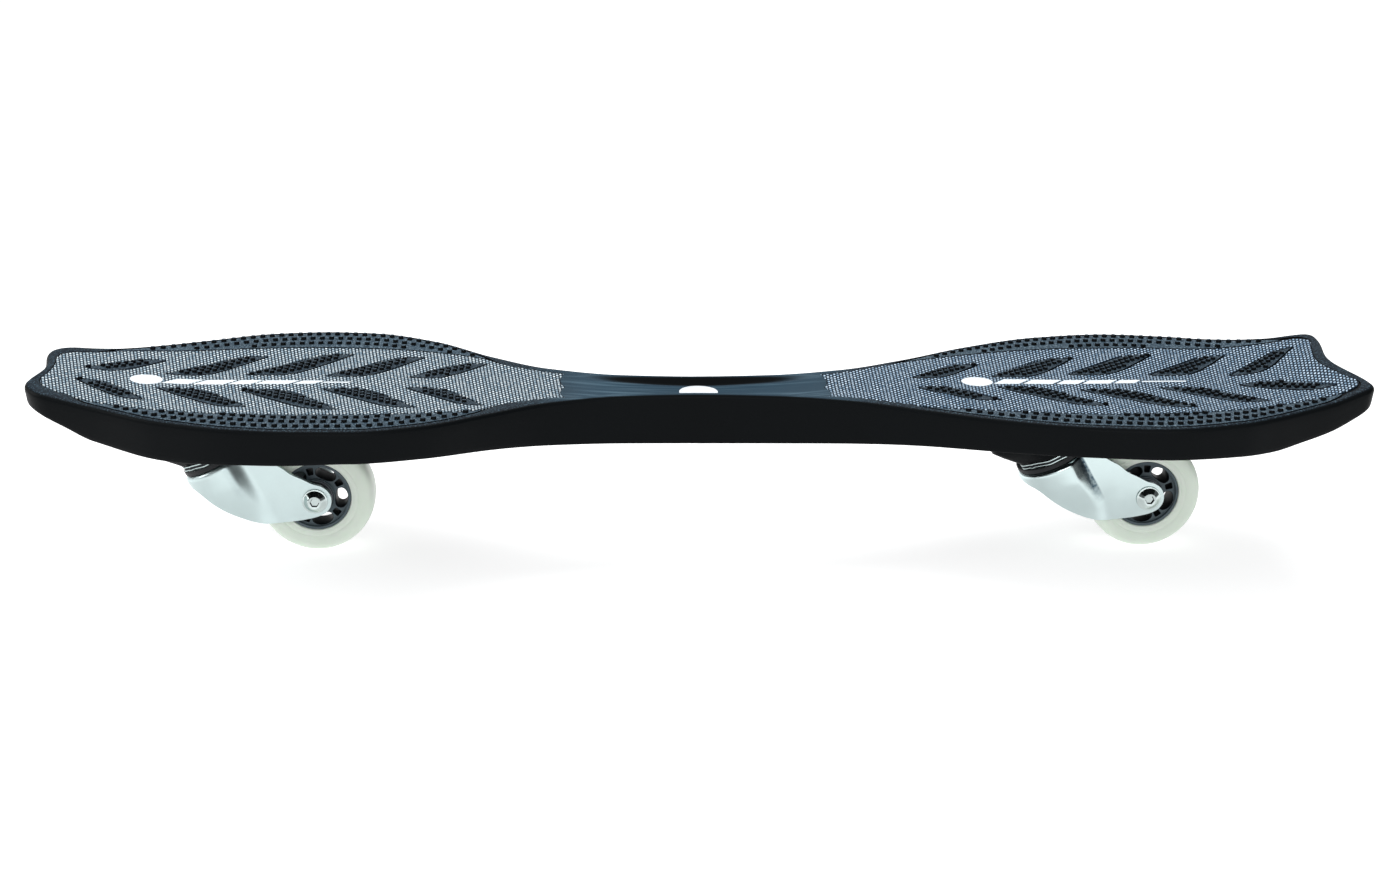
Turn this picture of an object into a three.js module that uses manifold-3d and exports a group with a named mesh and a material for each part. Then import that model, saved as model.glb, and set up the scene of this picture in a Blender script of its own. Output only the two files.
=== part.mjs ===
// Caster board: a moulded deck of two foot platforms and a narrow flexing waist, on two tilted casters.
// Millimetres. +X runs from nose to tail, +Y across the board, +Z up, and the wheels stand on z = 0.
import * as THREE from "three";
import { mergeVertices } from "three/addons/utils/BufferGeometryUtils.js";
import Module from "manifold-3d";

const wasm = await Module();
wasm.setup();

// Gap kept between neighbouring pieces, overrun of every cut, and overlap where solids are joined.
const clearance = 0.3;
const overrun = 4;
const bond = 0.6;

// Deck outline, measured from the middle of the waist.
const noseLength = 426.5;
const tailLength = 430.7;
const noseHalfWidth = 115;
const tailHalfWidth = 111;
const waistTop = 111.5;
const waistDepth = 33.8;
const noseRise = 12.5;
const tailRise = 18;
const waistDish = 5.6;
const noseNotch = 4.5;
const noseNotchHalf = 34;
const tailNotch = 8.5;
const tailNotchHalf = 57;
const cornerRadius = 7;
const edgeRadius = 5;
const wallDraft = 1;
const dishReachShare = 0.86;
const endPullShare = 0.9;

// Deck walls and underside.
const skinThickness = 4;
const wallThickness = 4;
const ribThickness = 3;
const ribSetback = 5;
const ribSpacing = 78;
const ribRow = 40;
const splitX = 17;

// Printed film let into each platform, and the round badge in the waist.
const filmThickness = 0.8;
const filmWave = 3;
const leafWidth = 13;
const badgeRadius = 12.8;
const badgeThickness = 1.2;

// Wheels.
const wheelRadius = 38;
const wheelWidth = 24;
const treadWidth = 12;
const tyreSegments = 36;
const hubSegments = 24;
const ringSegments = 16;
const smallSegments = 12;
const hubRadius = 22;
const hubRim = 2;
const hubWidth = 21.6;
const hubWeb = 6;
const hubBoss = 12.8;
const windowCount = 5;
const windowRadial = 3.4;
const windowTangential = 6.2;
const slotLength = 4.6;
const slotWidth = 3.8;

// Wheel bearings, 22 by 8 by 7.
const bearingOuter = 11;
const bearingBore = 8;
const bearingWidth = 7;
const raceWall = 1.5;
const shieldThickness = 0.6;
const wheelBallRadius = 1.4;
const wheelBallCount = 7;

// Axle, an 8 mm button-head bolt with a lock nut.
const axleRadius = 4;
const axleHeadRadius = 7.2;
const axleHeadHeight = 4.2;
const axleSocket = 5;
const axleSocketShare = 0.6;
const axleEnd = 1;
const axleNutFlats = 13;
const axleNutHeight = 8;

// Casters: the swivel axis leans towards the nose, and the axle trails behind it.
const frontAxleX = -250.3;
const rearAxleX = 301;
const rake = THREE.MathUtils.degToRad(28);
const casterOffset = 43;
const plateHeight = 55;
const plateThickness = 3;
const plateHalfWidth = 25;
const plateEndHalf = 11.6;
const plateFront = 23;
const plateShoulder = 6;
const plateRear = 38;
const plateRearShoulder = 20;
const crownRadius = 27;
const crownHeight = 51;
const forkSheet = 3.5;
const forkHalfWidth = 19;
const forkEyeRadius = 10.6;
const forkEyeTop = THREE.MathUtils.degToRad(35);
const forkEyeEnd = THREE.MathUtils.degToRad(-110);
const crownStepShare = 0.34;
const crownBackShare = 0.74;
const sealRadius = 25.5;
const sealWall = 2;

// Kingpin and its two ball races.
const kingpinRadius = 5;
const kingpinFlats = 17;
const kingpinHeadHeight = 6.4;
const kingpinNutHeight = 8;
const kingpinEnd = 2;
const raceCircle = 11;
const ballRadius = 1.7;
const cageShare = 0.55;
const ballCount = 8;
const cupRadius = 15;
const cupThickness = 2.4;

// Plate screws, countersunk, and the moulded boss that they go into.
const screwRadius = 2.5;
const screwHeadRadius = 4.4;
const screwHeadHeight = 2.2;
const screwGrip = 13;
const screwSocket = 3;
const screwSocketShare = 0.6;
const frontScrews = { x: -14, y: 12.6 };
const rearScrews = { x: 29, y: 11 };
const bossHalfWidth = 28;
const bossWall = 4;
const bossFront = 2;
const pillarRadius = 6;
const kingpinWell = 11.5;
const screwTipRoom = 3.75;
const kingpinHeadRoom = 3.2;

// Rows of [along, half width, rise, depth] from the waist to each tip, as shares of the deck's sizes.
const noseShares = [
  [0, 0.191, 0, 1],
  [0.113, 0.217, 0, 0.973],
  [0.23, 0.348, 0.01, 0.879],
  [0.319, 0.574, 0.06, 0.74],
  [0.41, 0.843, 0.22, 0.657],
  [0.511, 0.987, 0.34, 0.636],
  [0.586, 1, 0.38, 0.663],
  [0.668, 0.943, 0.39, 0.704],
  [0.785, 0.765, 0.4, 0.763],
  [0.891, 0.587, 0.57, 0.689],
  [0.938, 0.539, 0.69, 0.544],
  [0.98, 0.495, 0.86, 0.414],
  [1, 0.478, 1, 0.37],
];
const tailShares = [
  [0, 0.198, 0, 1],
  [0.111, 0.225, 0, 0.976],
  [0.228, 0.333, 0.01, 0.885],
  [0.332, 0.532, 0.04, 0.74],
  [0.441, 0.77, 0.12, 0.651],
  [0.557, 0.941, 0.21, 0.615],
  [0.669, 1, 0.26, 0.63],
  [0.778, 0.923, 0.31, 0.675],
  [0.831, 0.842, 0.36, 0.698],
  [0.882, 0.761, 0.47, 0.651],
  [0.929, 0.694, 0.63, 0.6],
  [0.971, 0.64, 0.83, 0.497],
  [1, 0.6, 1, 0.385],
];
// Rows of [along, dish, squareness]: how far the deck's middle lies below its edges, as shares of the
// waist's dish, and how square the dish is.
const dishShares = [
  [0, 1, 6],
  [0.12, 0.75, 5],
  [0.28, 0.06, 3],
  [0.42, 0.22, 2],
  [0.58, 0.45, 2],
  [0.72, 0.43, 2],
  [0.84, 0.33, 2],
  [0.94, 0, 2],
  [1, 0, 2],
];
// Stations along a half deck, and points across half of its top.
const stationShares = [0.12, 0.22, 0.3, 0.37, 0.44, 0.52, 0.61, 0.7, 0.79, 0.88, 0.95];
const cornerShares = [1, 0.4, 0];
const acrossShares = [0, 0.6];
// Half outlines of the two films, as shares of the half deck's length and half width.
const noseFilmShares = [
  [0.206, 0.235],
  [0.26, 0.305],
  [0.305, 0.4],
  [0.333, 0.5],
  [0.4, 0.585],
  [0.5, 0.645],
  [0.6, 0.66],
  [0.7, 0.635],
  [0.8, 0.58],
  [0.9, 0.485],
  [0.93, 0.415],
  [0.965, 0.35],
  [0.981, 0.24],
  [0.978, 0.12],
  [0.976, 0],
];
const tailFilmShares = [
  [0.193, 0.225],
  [0.235, 0.27],
  [0.28, 0.35],
  [0.34, 0.455],
  [0.42, 0.555],
  [0.52, 0.64],
  [0.62, 0.68],
  [0.72, 0.67],
  [0.82, 0.61],
  [0.9, 0.575],
  [0.945, 0.56],
  [0.968, 0.53],
  [0.98, 0.45],
  [0.97, 0.28],
  [0.957, 0],
];
// Leaf-shaped windows in the films: inner tip and outer tip, as shares of half length and half width.
const noseLeafShares = [
  [0.937, 0.112, 0.826, 0.377],
  [0.814, 0.139, 0.673, 0.485],
  [0.69, 0.15, 0.54, 0.537],
  [0.569, 0.127, 0.428, 0.485],
  [0.444, 0.104, 0.329, 0.402],
];
const tailLeafShares = [
  [0.333, 0.102, 0.446, 0.365],
  [0.457, 0.111, 0.603, 0.486],
  [0.583, 0.162, 0.735, 0.538],
  [0.707, 0.132, 0.848, 0.473],
  [0.832, 0.099, 0.954, 0.403],
];
// Points along a leaf, with its breadth to each side there, as shares of its length and width.
const leafShares = [
  [0.3, 0.5, 0.32],
  [0.68, 0.36, 0.5],
];
// The fork's lower edge in side view, as shares of its reach and of the crown's height.
const forkBellyShares = [
  [0.31, -0.09],
  [0.48, 0.01],
  [0.6, 0.14],
  [0.67, 0.25],
  [0.76, 0.42],
  [0.83, 0.6],
  [0.91, 0.78],
  [0.985, 0.89],
  [1.03, 1.1],
];
// A button head's profile from its middle to its seat, as shares of its radius and height.
const domeShares = [
  [0, 1],
  [0.55, 1],
  [0.85, 0.7],
  [1, 0.25],
  [1, 0],
];
// The tyre's side from the tread down, as shares of the shoulder inwards and outwards.
const shoulderShares = [
  [0, 0],
  [0.16, 0.5],
  [0.55, 0.86],
  [1.2, 1],
];
// The moulded boss in side view: ahead of the plate in crown radii, and above it in plate heights.
const bossShares = [
  [0, 0],
  [0.5, 0.3],
  [0.36, 0.72],
  [-0.2, 1.4],
];

const materials = {
  deck: new THREE.MeshStandardMaterial({ color: 0x1a1e25, roughness: 0.55, metalness: 0 }),
  film: new THREE.MeshStandardMaterial({ color: 0x8d98a6, roughness: 0.45, metalness: 0.2 }),
  badge: new THREE.MeshStandardMaterial({ color: 0xf2f2f2, roughness: 0.5, metalness: 0 }),
  zinc: new THREE.MeshStandardMaterial({ color: 0xc9d6d6, roughness: 0.3, metalness: 0.9 }),
  steel: new THREE.MeshStandardMaterial({ color: 0x9aa0a4, roughness: 0.3, metalness: 1 }),
  seal: new THREE.MeshStandardMaterial({ color: 0x101214, roughness: 0.8, metalness: 0 }),
  tyre: new THREE.MeshStandardMaterial({ color: 0xd9e0d2, roughness: 0.35, metalness: 0 }),
  hub: new THREE.MeshStandardMaterial({ color: 0x272c35, roughness: 0.5, metalness: 0 }),
};

// A closed geometry as a solid, and back.
function solid(geometry) {
  const bare = geometry.clone();
  bare.deleteAttribute("normal");
  bare.deleteAttribute("uv");
  const merged = mergeVertices(bare, 1e-4);
  const vertProperties = new Float32Array(merged.attributes.position.array);
  const triVerts = new Uint32Array(merged.index.array);
  return new wasm.Manifold(new wasm.Mesh({ numProp: 3, vertProperties, triVerts }));
}

function geometryOf(body) {
  const mesh = body.getMesh();
  const geometry = new THREE.BufferGeometry();
  geometry.setAttribute("position", new THREE.BufferAttribute(new Float32Array(mesh.vertProperties), 3));
  geometry.setIndex(new THREE.BufferAttribute(new Uint32Array(mesh.triVerts), 1));
  const faceted = geometry.toNonIndexed();
  faceted.computeVertexNormals();
  return faceted;
}

function piece(name, shape, material) {
  const geometry = shape.isBufferGeometry ? shape : geometryOf(shape);
  const mesh = new THREE.Mesh(geometry, material);
  mesh.name = name;
  return mesh;
}

// A round solid about Z or about Y, from [radius, height] points that close on the axis or on themselves.
function turned(points, segments, axis = "z") {
  const flat = 1 / Math.cos(Math.PI / segments);
  const profile = points.map(([r, h]) => new THREE.Vector2(r * flat, h));
  const geometry = new THREE.LatheGeometry(profile, segments, Math.PI / segments);
  if (axis === "z") geometry.rotateX(Math.PI / 2);
  return geometry;
}

function disc(radius, from, to, segments, axis) {
  return turned([[0, from], [radius, from], [radius, to], [0, to]], segments, axis);
}

function ring(inner, outer, from, to, segments, axis) {
  return turned([[inner, from], [outer, from], [outer, to], [inner, to], [inner, from]], segments, axis);
}

function shapeOf(points) {
  return new THREE.Shape(points.map(([x, y]) => new THREE.Vector2(x, y)));
}

// An outline in X and Y, carried from one height to another.
function prism(shape, from, to, curveSegments = 10) {
  const options = { depth: to - from, bevelEnabled: false, curveSegments };
  const geometry = new THREE.ExtrudeGeometry(shape, options);
  return geometry.translate(0, 0, from);
}

// An outline in X and Z, carried across the board to both sides of the middle.
function sideways(shape, halfWidth, curveSegments = 10) {
  const geometry = prism(shape, -halfWidth, halfWidth, curveSegments);
  return geometry.rotateX(Math.PI / 2);
}

function boxAt(x0, x1, y0, y1, z0, z1) {
  const geometry = new THREE.BoxGeometry(x1 - x0, y1 - y0, z1 - z0);
  return geometry.translate((x0 + x1) / 2, (y0 + y1) / 2, (z0 + z1) / 2);
}

function hexPrism(flats, from, to, axis) {
  return disc(flats / 2, from, to, 6, axis);
}

// A smooth curve through a column of a table of shares, level at its own peaks.
function smooth(rows, column, at) {
  const last = rows.length - 1;
  const slope = (i) => (rows[i + 1][column] - rows[i][column]) / (rows[i + 1][0] - rows[i][0]);
  const tangent = (i) => {
    if (i === 0) return column === 1 ? 0 : slope(0);
    if (i === last) return slope(last - 1);
    const before = slope(i - 1);
    const after = slope(i);
    return before * after <= 0 ? 0 : (2 * before * after) / (before + after);
  };
  let i = 0;
  while (i < last - 1 && at > rows[i + 1][0]) i++;
  const span = rows[i + 1][0] - rows[i][0];
  const t = (at - rows[i][0]) / span;
  const rise = 3 * t ** 2 - 2 * t ** 3;
  const lead = t ** 3 - 2 * t ** 2 + t;
  const trail = t ** 3 - t ** 2;
  return (
    rows[i][column] * (1 - rise) +
    rows[i + 1][column] * rise +
    span * (tangent(i) * lead + tangent(i + 1) * trail)
  );
}

// Each half of the deck, with its own sizes; side is -1 towards the nose and 1 towards the tail.
const halves = {
  front: {
    side: -1,
    length: noseLength,
    halfWidth: noseHalfWidth,
    rise: noseRise,
    notch: noseNotch,
    notchHalf: noseNotchHalf,
    shares: noseShares,
    filmShares: noseFilmShares,
    leaves: noseLeafShares,
    axleX: frontAxleX,
  },
  rear: {
    side: 1,
    length: tailLength,
    halfWidth: tailHalfWidth,
    rise: tailRise,
    notch: tailNotch,
    notchHalf: tailNotchHalf,
    shares: tailShares,
    filmShares: tailFilmShares,
    leaves: tailLeafShares,
    axleX: rearAxleX,
  },
};

// The half deck's edge at a distance from the waist: half width, rim height, wall depth and dish.
function edgeAt(half, distance) {
  const at = Math.abs(distance) / half.length;
  return {
    width: smooth(half.shares, 1, at) * half.halfWidth,
    rim: waistTop + smooth(half.shares, 2, at) * half.rise,
    depth: smooth(half.shares, 3, at) * waistDepth,
    dish: smooth(dishShares, 1, at) * waistDish,
    squareness: smooth(dishShares, 2, at),
  };
}

// How far the end of the deck is drawn in at a place across it, for the shallow notch between its corners.
function notchAt(half, y) {
  const reach = Math.min(1, Math.abs(y) / half.notchHalf);
  return half.notch * (0.5 + 0.5 * Math.cos(Math.PI * reach));
}

// The points across one station, from one side to the other, as [y, top, bottom].
function stationPoints(half, distance, end, options) {
  const edge = edgeAt(half, distance);
  const left = Math.max(0, end - distance);
  const corner = cornerRadius - options.inset;
  const bite = corner > left ? corner - Math.sqrt(corner ** 2 - (corner - left) ** 2) : 0;
  const width = edge.width - options.inset - bite;
  const round = options.round;
  const bottom = edge.rim - edge.depth - options.lower;
  const reach = dishReachShare * width;
  const sunk = (y) => edge.dish * Math.max(0, 1 - (Math.abs(y) / reach) ** edge.squareness);
  const top = (y) => edge.rim - options.drop - sunk(y);
  const flat = width - round;
  const points = acrossShares.map((share) => [share * flat, top(share * flat), bottom]);
  points.push([flat, top(flat), bottom]);
  if (round > 0) {
    const slack = round * (1 - Math.SQRT1_2);
    points.push([width - slack, edge.rim - options.drop - slack, bottom]);
    points.push([width, edge.rim - options.drop - round, bottom]);
  }
  const mirrored = points.slice(1).reverse().map(([y, t, b]) => [-y, t, b]);
  return mirrored.concat(points);
}

// The half deck as one block, drawn in from its real faces by inset and drop and lowered by lower.
function deckBlock(half, options) {
  const end = half.length - options.inset;
  const start = options.start;
  const stations = stationShares.map((share) => share * half.length);
  const corners = cornerShares.map((share) => end - share * cornerRadius);
  const inside = stations.filter((d) => d > start + overrun && d < corners[0] - overrun);
  const distances = [start, ...inside, ...corners];
  const rows = distances.map((d) => stationPoints(half, d, end, options));
  const count = rows[0].length;
  const positions = [];
  rows.forEach((row, i) => {
    const pull = THREE.MathUtils.smoothstep(distances[i] / end, endPullShare, 1);
    for (const level of [1, 2]) {
      for (const point of row) {
        const across = point[0];
        const x = half.side * (distances[i] - pull * notchAt(half, across));
        const shrink = level === 2 ? Math.min(1, 1 - (wallDraft / rowWidth(row)) * options.draft) : 1;
        positions.push(x, across * shrink, point[level]);
      }
    }
  });
  const geometry = new THREE.BufferGeometry();
  geometry.setAttribute("position", new THREE.Float32BufferAttribute(positions, 3));
  geometry.setIndex(blockFaces(rows.length, count, half.side));
  return solid(geometry);
}

function rowWidth(row) {
  return row[row.length - 1][0];
}

// Triangles of a block whose every station holds a row of top points and then a row of bottom points.
function blockFaces(stations, count, side) {
  const faces = [];
  const at = (i, level, k) => i * 2 * count + level * count + k;
  const quad = (a, b, c, d) => faces.push(a, b, c, a, c, d);
  for (let i = 0; i < stations - 1; i++) {
    for (let k = 0; k < count - 1; k++) {
      quad(at(i, 0, k), at(i + 1, 0, k), at(i + 1, 0, k + 1), at(i, 0, k + 1));
      quad(at(i, 1, k), at(i, 1, k + 1), at(i + 1, 1, k + 1), at(i + 1, 1, k));
    }
    quad(at(i, 0, 0), at(i, 1, 0), at(i + 1, 1, 0), at(i + 1, 0, 0));
    const k = count - 1;
    quad(at(i, 0, k), at(i + 1, 0, k), at(i + 1, 1, k), at(i, 1, k));
  }
  const last = stations - 1;
  for (let k = 0; k < count - 1; k++) {
    quad(at(0, 0, k), at(0, 0, k + 1), at(0, 1, k + 1), at(0, 1, k));
    quad(at(last, 0, k), at(last, 1, k), at(last, 1, k + 1), at(last, 0, k + 1));
  }
  if (side < 0) faces.reverse();
  return faces;
}

// Where the half deck starts, either side of the plane at which the waist is parted.
function startOf(half) {
  return half.side * splitX + clearance / 2;
}

// An outline from a table of half-outline shares, mirrored across the board, grown by a margin.
function filmOutline(half, margin) {
  const side = half.filmShares.map(([along, across]) => {
    const x = half.side * (along * half.length);
    return [x, across * half.halfWidth];
  });
  const [innerX] = side[0];
  const wave = [innerX - half.side * filmWave, 0];
  const loop = [...side, ...side.slice(0, -1).reverse().map(([x, y]) => [x, -y]), wave];
  return grow(loop, margin);
}

// A closed outline with every point moved out along the bisector of its corner.
function grow(points, margin) {
  const turn = THREE.ShapeUtils.area(points.map(([x, y]) => new THREE.Vector2(x, y))) > 0 ? 1 : -1;
  return points.map((point, i) => {
    const before = points[(i + points.length - 1) % points.length];
    const after = points[(i + 1) % points.length];
    const tangent = new THREE.Vector2(after[0] - before[0], after[1] - before[1]).normalize();
    return [point[0] + turn * tangent.y * margin, point[1] - turn * tangent.x * margin];
  });
}

// The half deck's top layer between two depths below its surface.
function topLayer(half, from, to) {
  const options = { inset: 0, lower: 0, round: edgeRadius, draft: 0, start: startOf(half) };
  const outer = deckBlock(half, { ...options, drop: from });
  const inner = deckBlock(half, { ...options, drop: to, inset: -bond, lower: overrun });
  return outer.subtract(inner);
}

// One leaf window: a blade from its inner to its outer tip, fuller on its rear side.
function leafShape(half, leaf, mirror) {
  const inner = new THREE.Vector2(half.side * leaf[0] * half.length, mirror * leaf[1] * half.halfWidth);
  const outer = new THREE.Vector2(half.side * leaf[2] * half.length, mirror * leaf[3] * half.halfWidth);
  const span = outer.clone().sub(inner);
  const normal = new THREE.Vector2(-span.y, span.x).normalize().multiplyScalar(mirror * leafWidth);
  const along = (share, breadth) => {
    return inner.clone().addScaledVector(span, share).addScaledVector(normal, breadth);
  };
  const upper = leafShares.map(([share, left]) => along(share, left));
  const lower = leafShares.map(([share, , right]) => along(share, -right)).reverse();
  return new THREE.Shape([inner, ...upper, outer, ...lower]);
}

const above = waistTop + tailRise + overrun;
const below = waistTop - waistDepth;

function film(half) {
  const outline = solid(prism(shapeOf(filmOutline(half, 0)), below, above));
  let sheet = topLayer(half, 0, filmThickness).intersect(outline);
  for (const leaf of half.leaves) {
    for (const mirror of [1, -1]) {
      sheet = sheet.subtract(solid(prism(leafShape(half, leaf, mirror), below, above)));
    }
  }
  return sheet;
}

function filmRecess(half) {
  const outline = solid(prism(shapeOf(filmOutline(half, clearance)), below, above));
  return topLayer(half, -overrun, filmThickness + clearance).intersect(outline);
}

// Ribs under the skin: one row along the middle, one to each side, and cross ribs that close the cells.
function ribs(half) {
  const t = ribThickness / 2;
  const from = half.side < 0 ? -half.length : startOf(half);
  const to = half.side < 0 ? -startOf(half) : half.length;
  let lattice = solid(boxAt(from, to, -t, t, below, above));
  for (const y of [-ribRow, ribRow]) {
    lattice = lattice.add(solid(boxAt(from, to, y - t, y + t, below, above)));
  }
  const cells = Math.floor((half.length - wallThickness) / ribSpacing);
  for (let i = 1; i <= cells; i++) {
    const x = half.side * i * ribSpacing;
    const reach = half.halfWidth;
    lattice = lattice.add(solid(boxAt(x - t, x + t, -reach, reach, below, above)));
  }
  const room = deckBlock(half, {
    inset: wallThickness - bond,
    drop: skinThickness - bond,
    lower: -ribSetback,
    round: 0,
    draft: 0,
    start: startOf(half),
  });
  return lattice.intersect(room);
}

// The caster's own frame: origin at the middle of the axle, Z along the swivel axis, X rising rearwards.
function casterMatrix(half) {
  const turn = new THREE.Matrix4().makeRotationY(-rake);
  return turn.setPosition(half.axleX, 0, wheelRadius);
}

const axisX = -casterOffset;
const plateTop = plateHeight + plateThickness;
const bossBottom = plateTop + clearance;
const screwPlaces = [
  ["front_left", axisX + frontScrews.x, frontScrews.y],
  ["front_right", axisX + frontScrews.x, -frontScrews.y],
  ["rear_left", axisX + rearScrews.x, rearScrews.y],
  ["rear_right", axisX + rearScrews.x, -rearScrews.y],
];

// The moulded boss that carries a caster: a cored wedge with screw pillars and a well for the kingpin.
function bossOutline(margin) {
  const front = axisX - plateFront - bossFront;
  const nose = bossShares.map(([ahead, up]) => {
    return [front - ahead * crownRadius, bossBottom + up * plateHeight];
  });
  const rear = axisX + plateRear + bossFront;
  const tall = nose[nose.length - 1];
  const outline = [[rear, bossBottom], ...nose, [rear, tall[1]]];
  const inner = grow(outline, -margin);
  if (margin > 0) {
    for (const i of [0, 1]) inner[i][1] = bossBottom - overrun;
    inner[0][0] = rear - margin;
    inner[1][0] = front + margin;
    inner[2][0] = nose[1][0] + margin;
  }
  return inner;
}

function boss(half) {
  const top = bossBottom + 2 * plateHeight;
  const outer = solid(sideways(shapeOf(bossOutline(0)), bossHalfWidth));
  const core = solid(sideways(shapeOf(bossOutline(bossWall)), bossHalfWidth - bossWall));
  let body = outer.subtract(core);
  for (const [, x, y] of screwPlaces) {
    body = body.add(solid(disc(pillarRadius, bossBottom, top, 12).translate(x, y, 0)));
  }
  body = body.add(solid(disc(kingpinWell + bossWall, bossBottom, top, 16).translate(axisX, 0, 0)));
  body = body.intersect(outer);
  for (const [, x, y] of screwPlaces) {
    const holeTop = plateTop + screwGrip + screwTipRoom;
    const hole = disc(screwRadius + clearance, bossBottom - overrun, holeTop, 8);
    body = body.subtract(solid(hole.translate(x, y, 0)));
  }
  const wellTop = plateTop + kingpinHeadHeight + kingpinHeadRoom;
  const well = disc(kingpinWell, bossBottom - overrun, wellTop, 16);
  body = body.subtract(solid(well.translate(axisX, 0, 0)));
  const underSkin = deckBlock(half, {
    inset: wallThickness - bond,
    drop: skinThickness - bond,
    lower: plateHeight,
    round: 0,
    draft: 0,
    start: startOf(half),
  });
  return body.transform(casterMatrix(half).toArray()).intersect(underSkin);
}

function badgeSeat(margin) {
  const floor = waistTop - waistDish - badgeThickness - margin;
  return disc(badgeRadius + margin, floor, above, 32);
}

function deckHalf(half) {
  const start = startOf(half);
  const outer = deckBlock(half, { inset: 0, drop: 0, lower: 0, round: edgeRadius, draft: 1, start });
  const core = deckBlock(half, {
    inset: wallThickness,
    drop: skinThickness,
    lower: overrun,
    round: 0,
    draft: 0,
    start: start - overrun,
  });
  let body = outer.subtract(core).add(ribs(half));
  body = body.add(boss(half));
  return body.subtract(filmRecess(half));
}

function frontDeck() {
  return deckHalf(halves.front).subtract(solid(badgeSeat(clearance)));
}

function badge() {
  const floor = waistTop - waistDish - badgeThickness;
  return disc(badgeRadius, floor, floor + badgeThickness, 32);
}

// The fork's plan: a round crown over the swivel axis that steps in to two flat legs.
function forkPlan(outset) {
  const radius = crownRadius - outset;
  const leg = forkHalfWidth - outset;
  const step = axisX + crownStepShare * (crownRadius - outset);
  const end = forkEyeRadius + overrun;
  const shape = new THREE.Shape();
  shape.moveTo(end, -leg);
  shape.lineTo(end, leg);
  shape.lineTo(step + (radius - leg), leg);
  shape.lineTo(step, radius);
  shape.lineTo(axisX, radius);
  shape.absarc(axisX, 0, radius, Math.PI / 2, 1.5 * Math.PI, false);
  shape.lineTo(step, -radius);
  shape.lineTo(step + (radius - leg), -leg);
  return shape;
}

// The fork from the side: a tapering leg round the axle, widening up to the crown.
function forkSide() {
  const reach = casterOffset + crownRadius;
  const shape = new THREE.Shape();
  shape.moveTo(forkEyeRadius * Math.cos(forkEyeTop), forkEyeRadius * Math.sin(forkEyeTop));
  shape.absarc(0, 0, forkEyeRadius, forkEyeTop, forkEyeEnd, true);
  for (const [back, up] of forkBellyShares) shape.lineTo(-back * reach, up * crownHeight);
  const rear = axisX + crownRadius;
  shape.lineTo(rear, forkBellyShares[forkBellyShares.length - 1][1] * crownHeight);
  shape.lineTo(rear, crownBackShare * crownHeight);
  return shape;
}

function fork() {
  const low = -crownRadius;
  const skirt = solid(prism(forkPlan(0), low, crownHeight, 12));
  const room = solid(prism(forkPlan(forkSheet), low - overrun, crownHeight - forkSheet, 12));
  const side = solid(sideways(forkSide(), crownRadius + overrun, 6));
  const kingpinHole = disc(kingpinRadius + clearance, low, crownHeight + overrun, 16);
  const axleHole = disc(axleRadius + clearance, -crownRadius, crownRadius, 16, "y");
  const shell = skirt.subtract(room).intersect(side);
  return shell.subtract(solid(kingpinHole.translate(axisX, 0, 0))).subtract(solid(axleHole));
}

function plate() {
  const front = axisX - plateFront;
  const rear = axisX + plateRear;
  const half = [
    [front, plateEndHalf],
    [axisX - plateShoulder, plateHalfWidth],
    [axisX + plateRearShoulder, plateHalfWidth],
    [rear, plateEndHalf],
  ];
  const outline = [...half, ...half.map(([x, y]) => [x, -y]).reverse()];
  let body = solid(prism(shapeOf(outline), plateHeight, plateTop));
  const bore = disc(kingpinRadius + clearance, plateHeight - overrun, plateTop + overrun, 16);
  body = body.subtract(solid(bore.translate(axisX, 0, 0)));
  for (const [, x, y] of screwPlaces) {
    body = body.subtract(solid(screwBody(clearance).translate(x, y, 0)));
  }
  return body;
}

// A countersunk screw, head down in the plate's lower face and shank up in the boss.
function screwBody(margin) {
  const face = plateHeight + clearance - (margin > 0 ? overrun : 0);
  const sink = plateHeight + clearance + margin;
  const head = screwHeadRadius + margin;
  const shank = screwRadius + margin;
  return turned(
    [
      [0, face],
      [head, face],
      [head, sink],
      [shank, sink + screwHeadHeight],
      [shank, plateTop + screwGrip],
      [0, plateTop + screwGrip],
    ],
    8,
  );
}

function screw() {
  const socketTop = plateHeight + clearance + screwSocketShare * screwHeadHeight;
  const socket = hexPrism(screwSocket, plateHeight - overrun, socketTop);
  return solid(screwBody(0)).subtract(solid(socket));
}

const cupTop = crownHeight - forkSheet - 2 * (ballRadius + clearance);
const cupBottom = cupTop - cupThickness;
const nutTop = cupBottom - clearance;
const nutBottom = nutTop - kingpinNutHeight;

function kingpin() {
  const headBottom = plateTop + clearance;
  const head = solid(hexPrism(kingpinFlats, headBottom, headBottom + kingpinHeadHeight));
  const shank = solid(disc(kingpinRadius, nutBottom - kingpinEnd, headBottom + kingpinHeadHeight / 2, 16));
  return head.add(shank);
}

function kingpinNut() {
  const hole = disc(kingpinRadius + clearance, nutBottom - overrun, nutTop + overrun, 16);
  return solid(hexPrism(kingpinFlats, nutBottom, nutTop)).subtract(solid(hole));
}

// A ring of balls held in a flat cage, at the height of the balls' middles.
function ballRace(circle, radius, count, height, axis) {
  const cage = cageShare * radius;
  let body = solid(ring(circle - cage, circle + cage, height - cage, height + cage, count, axis));
  for (let i = 0; i < count; i++) {
    const angle = (2 * Math.PI * (i + 0.5)) / count;
    const ball = new THREE.OctahedronGeometry(radius);
    const across = circle * Math.sin(angle);
    const along = circle * Math.cos(angle);
    const place = axis === "y" ? [across, height, along] : [across, along, height];
    body = body.add(solid(ball.translate(...place)));
  }
  return body;
}

function upperRace() {
  return ballRace(raceCircle, ballRadius, ballCount, (crownHeight + plateHeight) / 2, "z");
}

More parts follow.
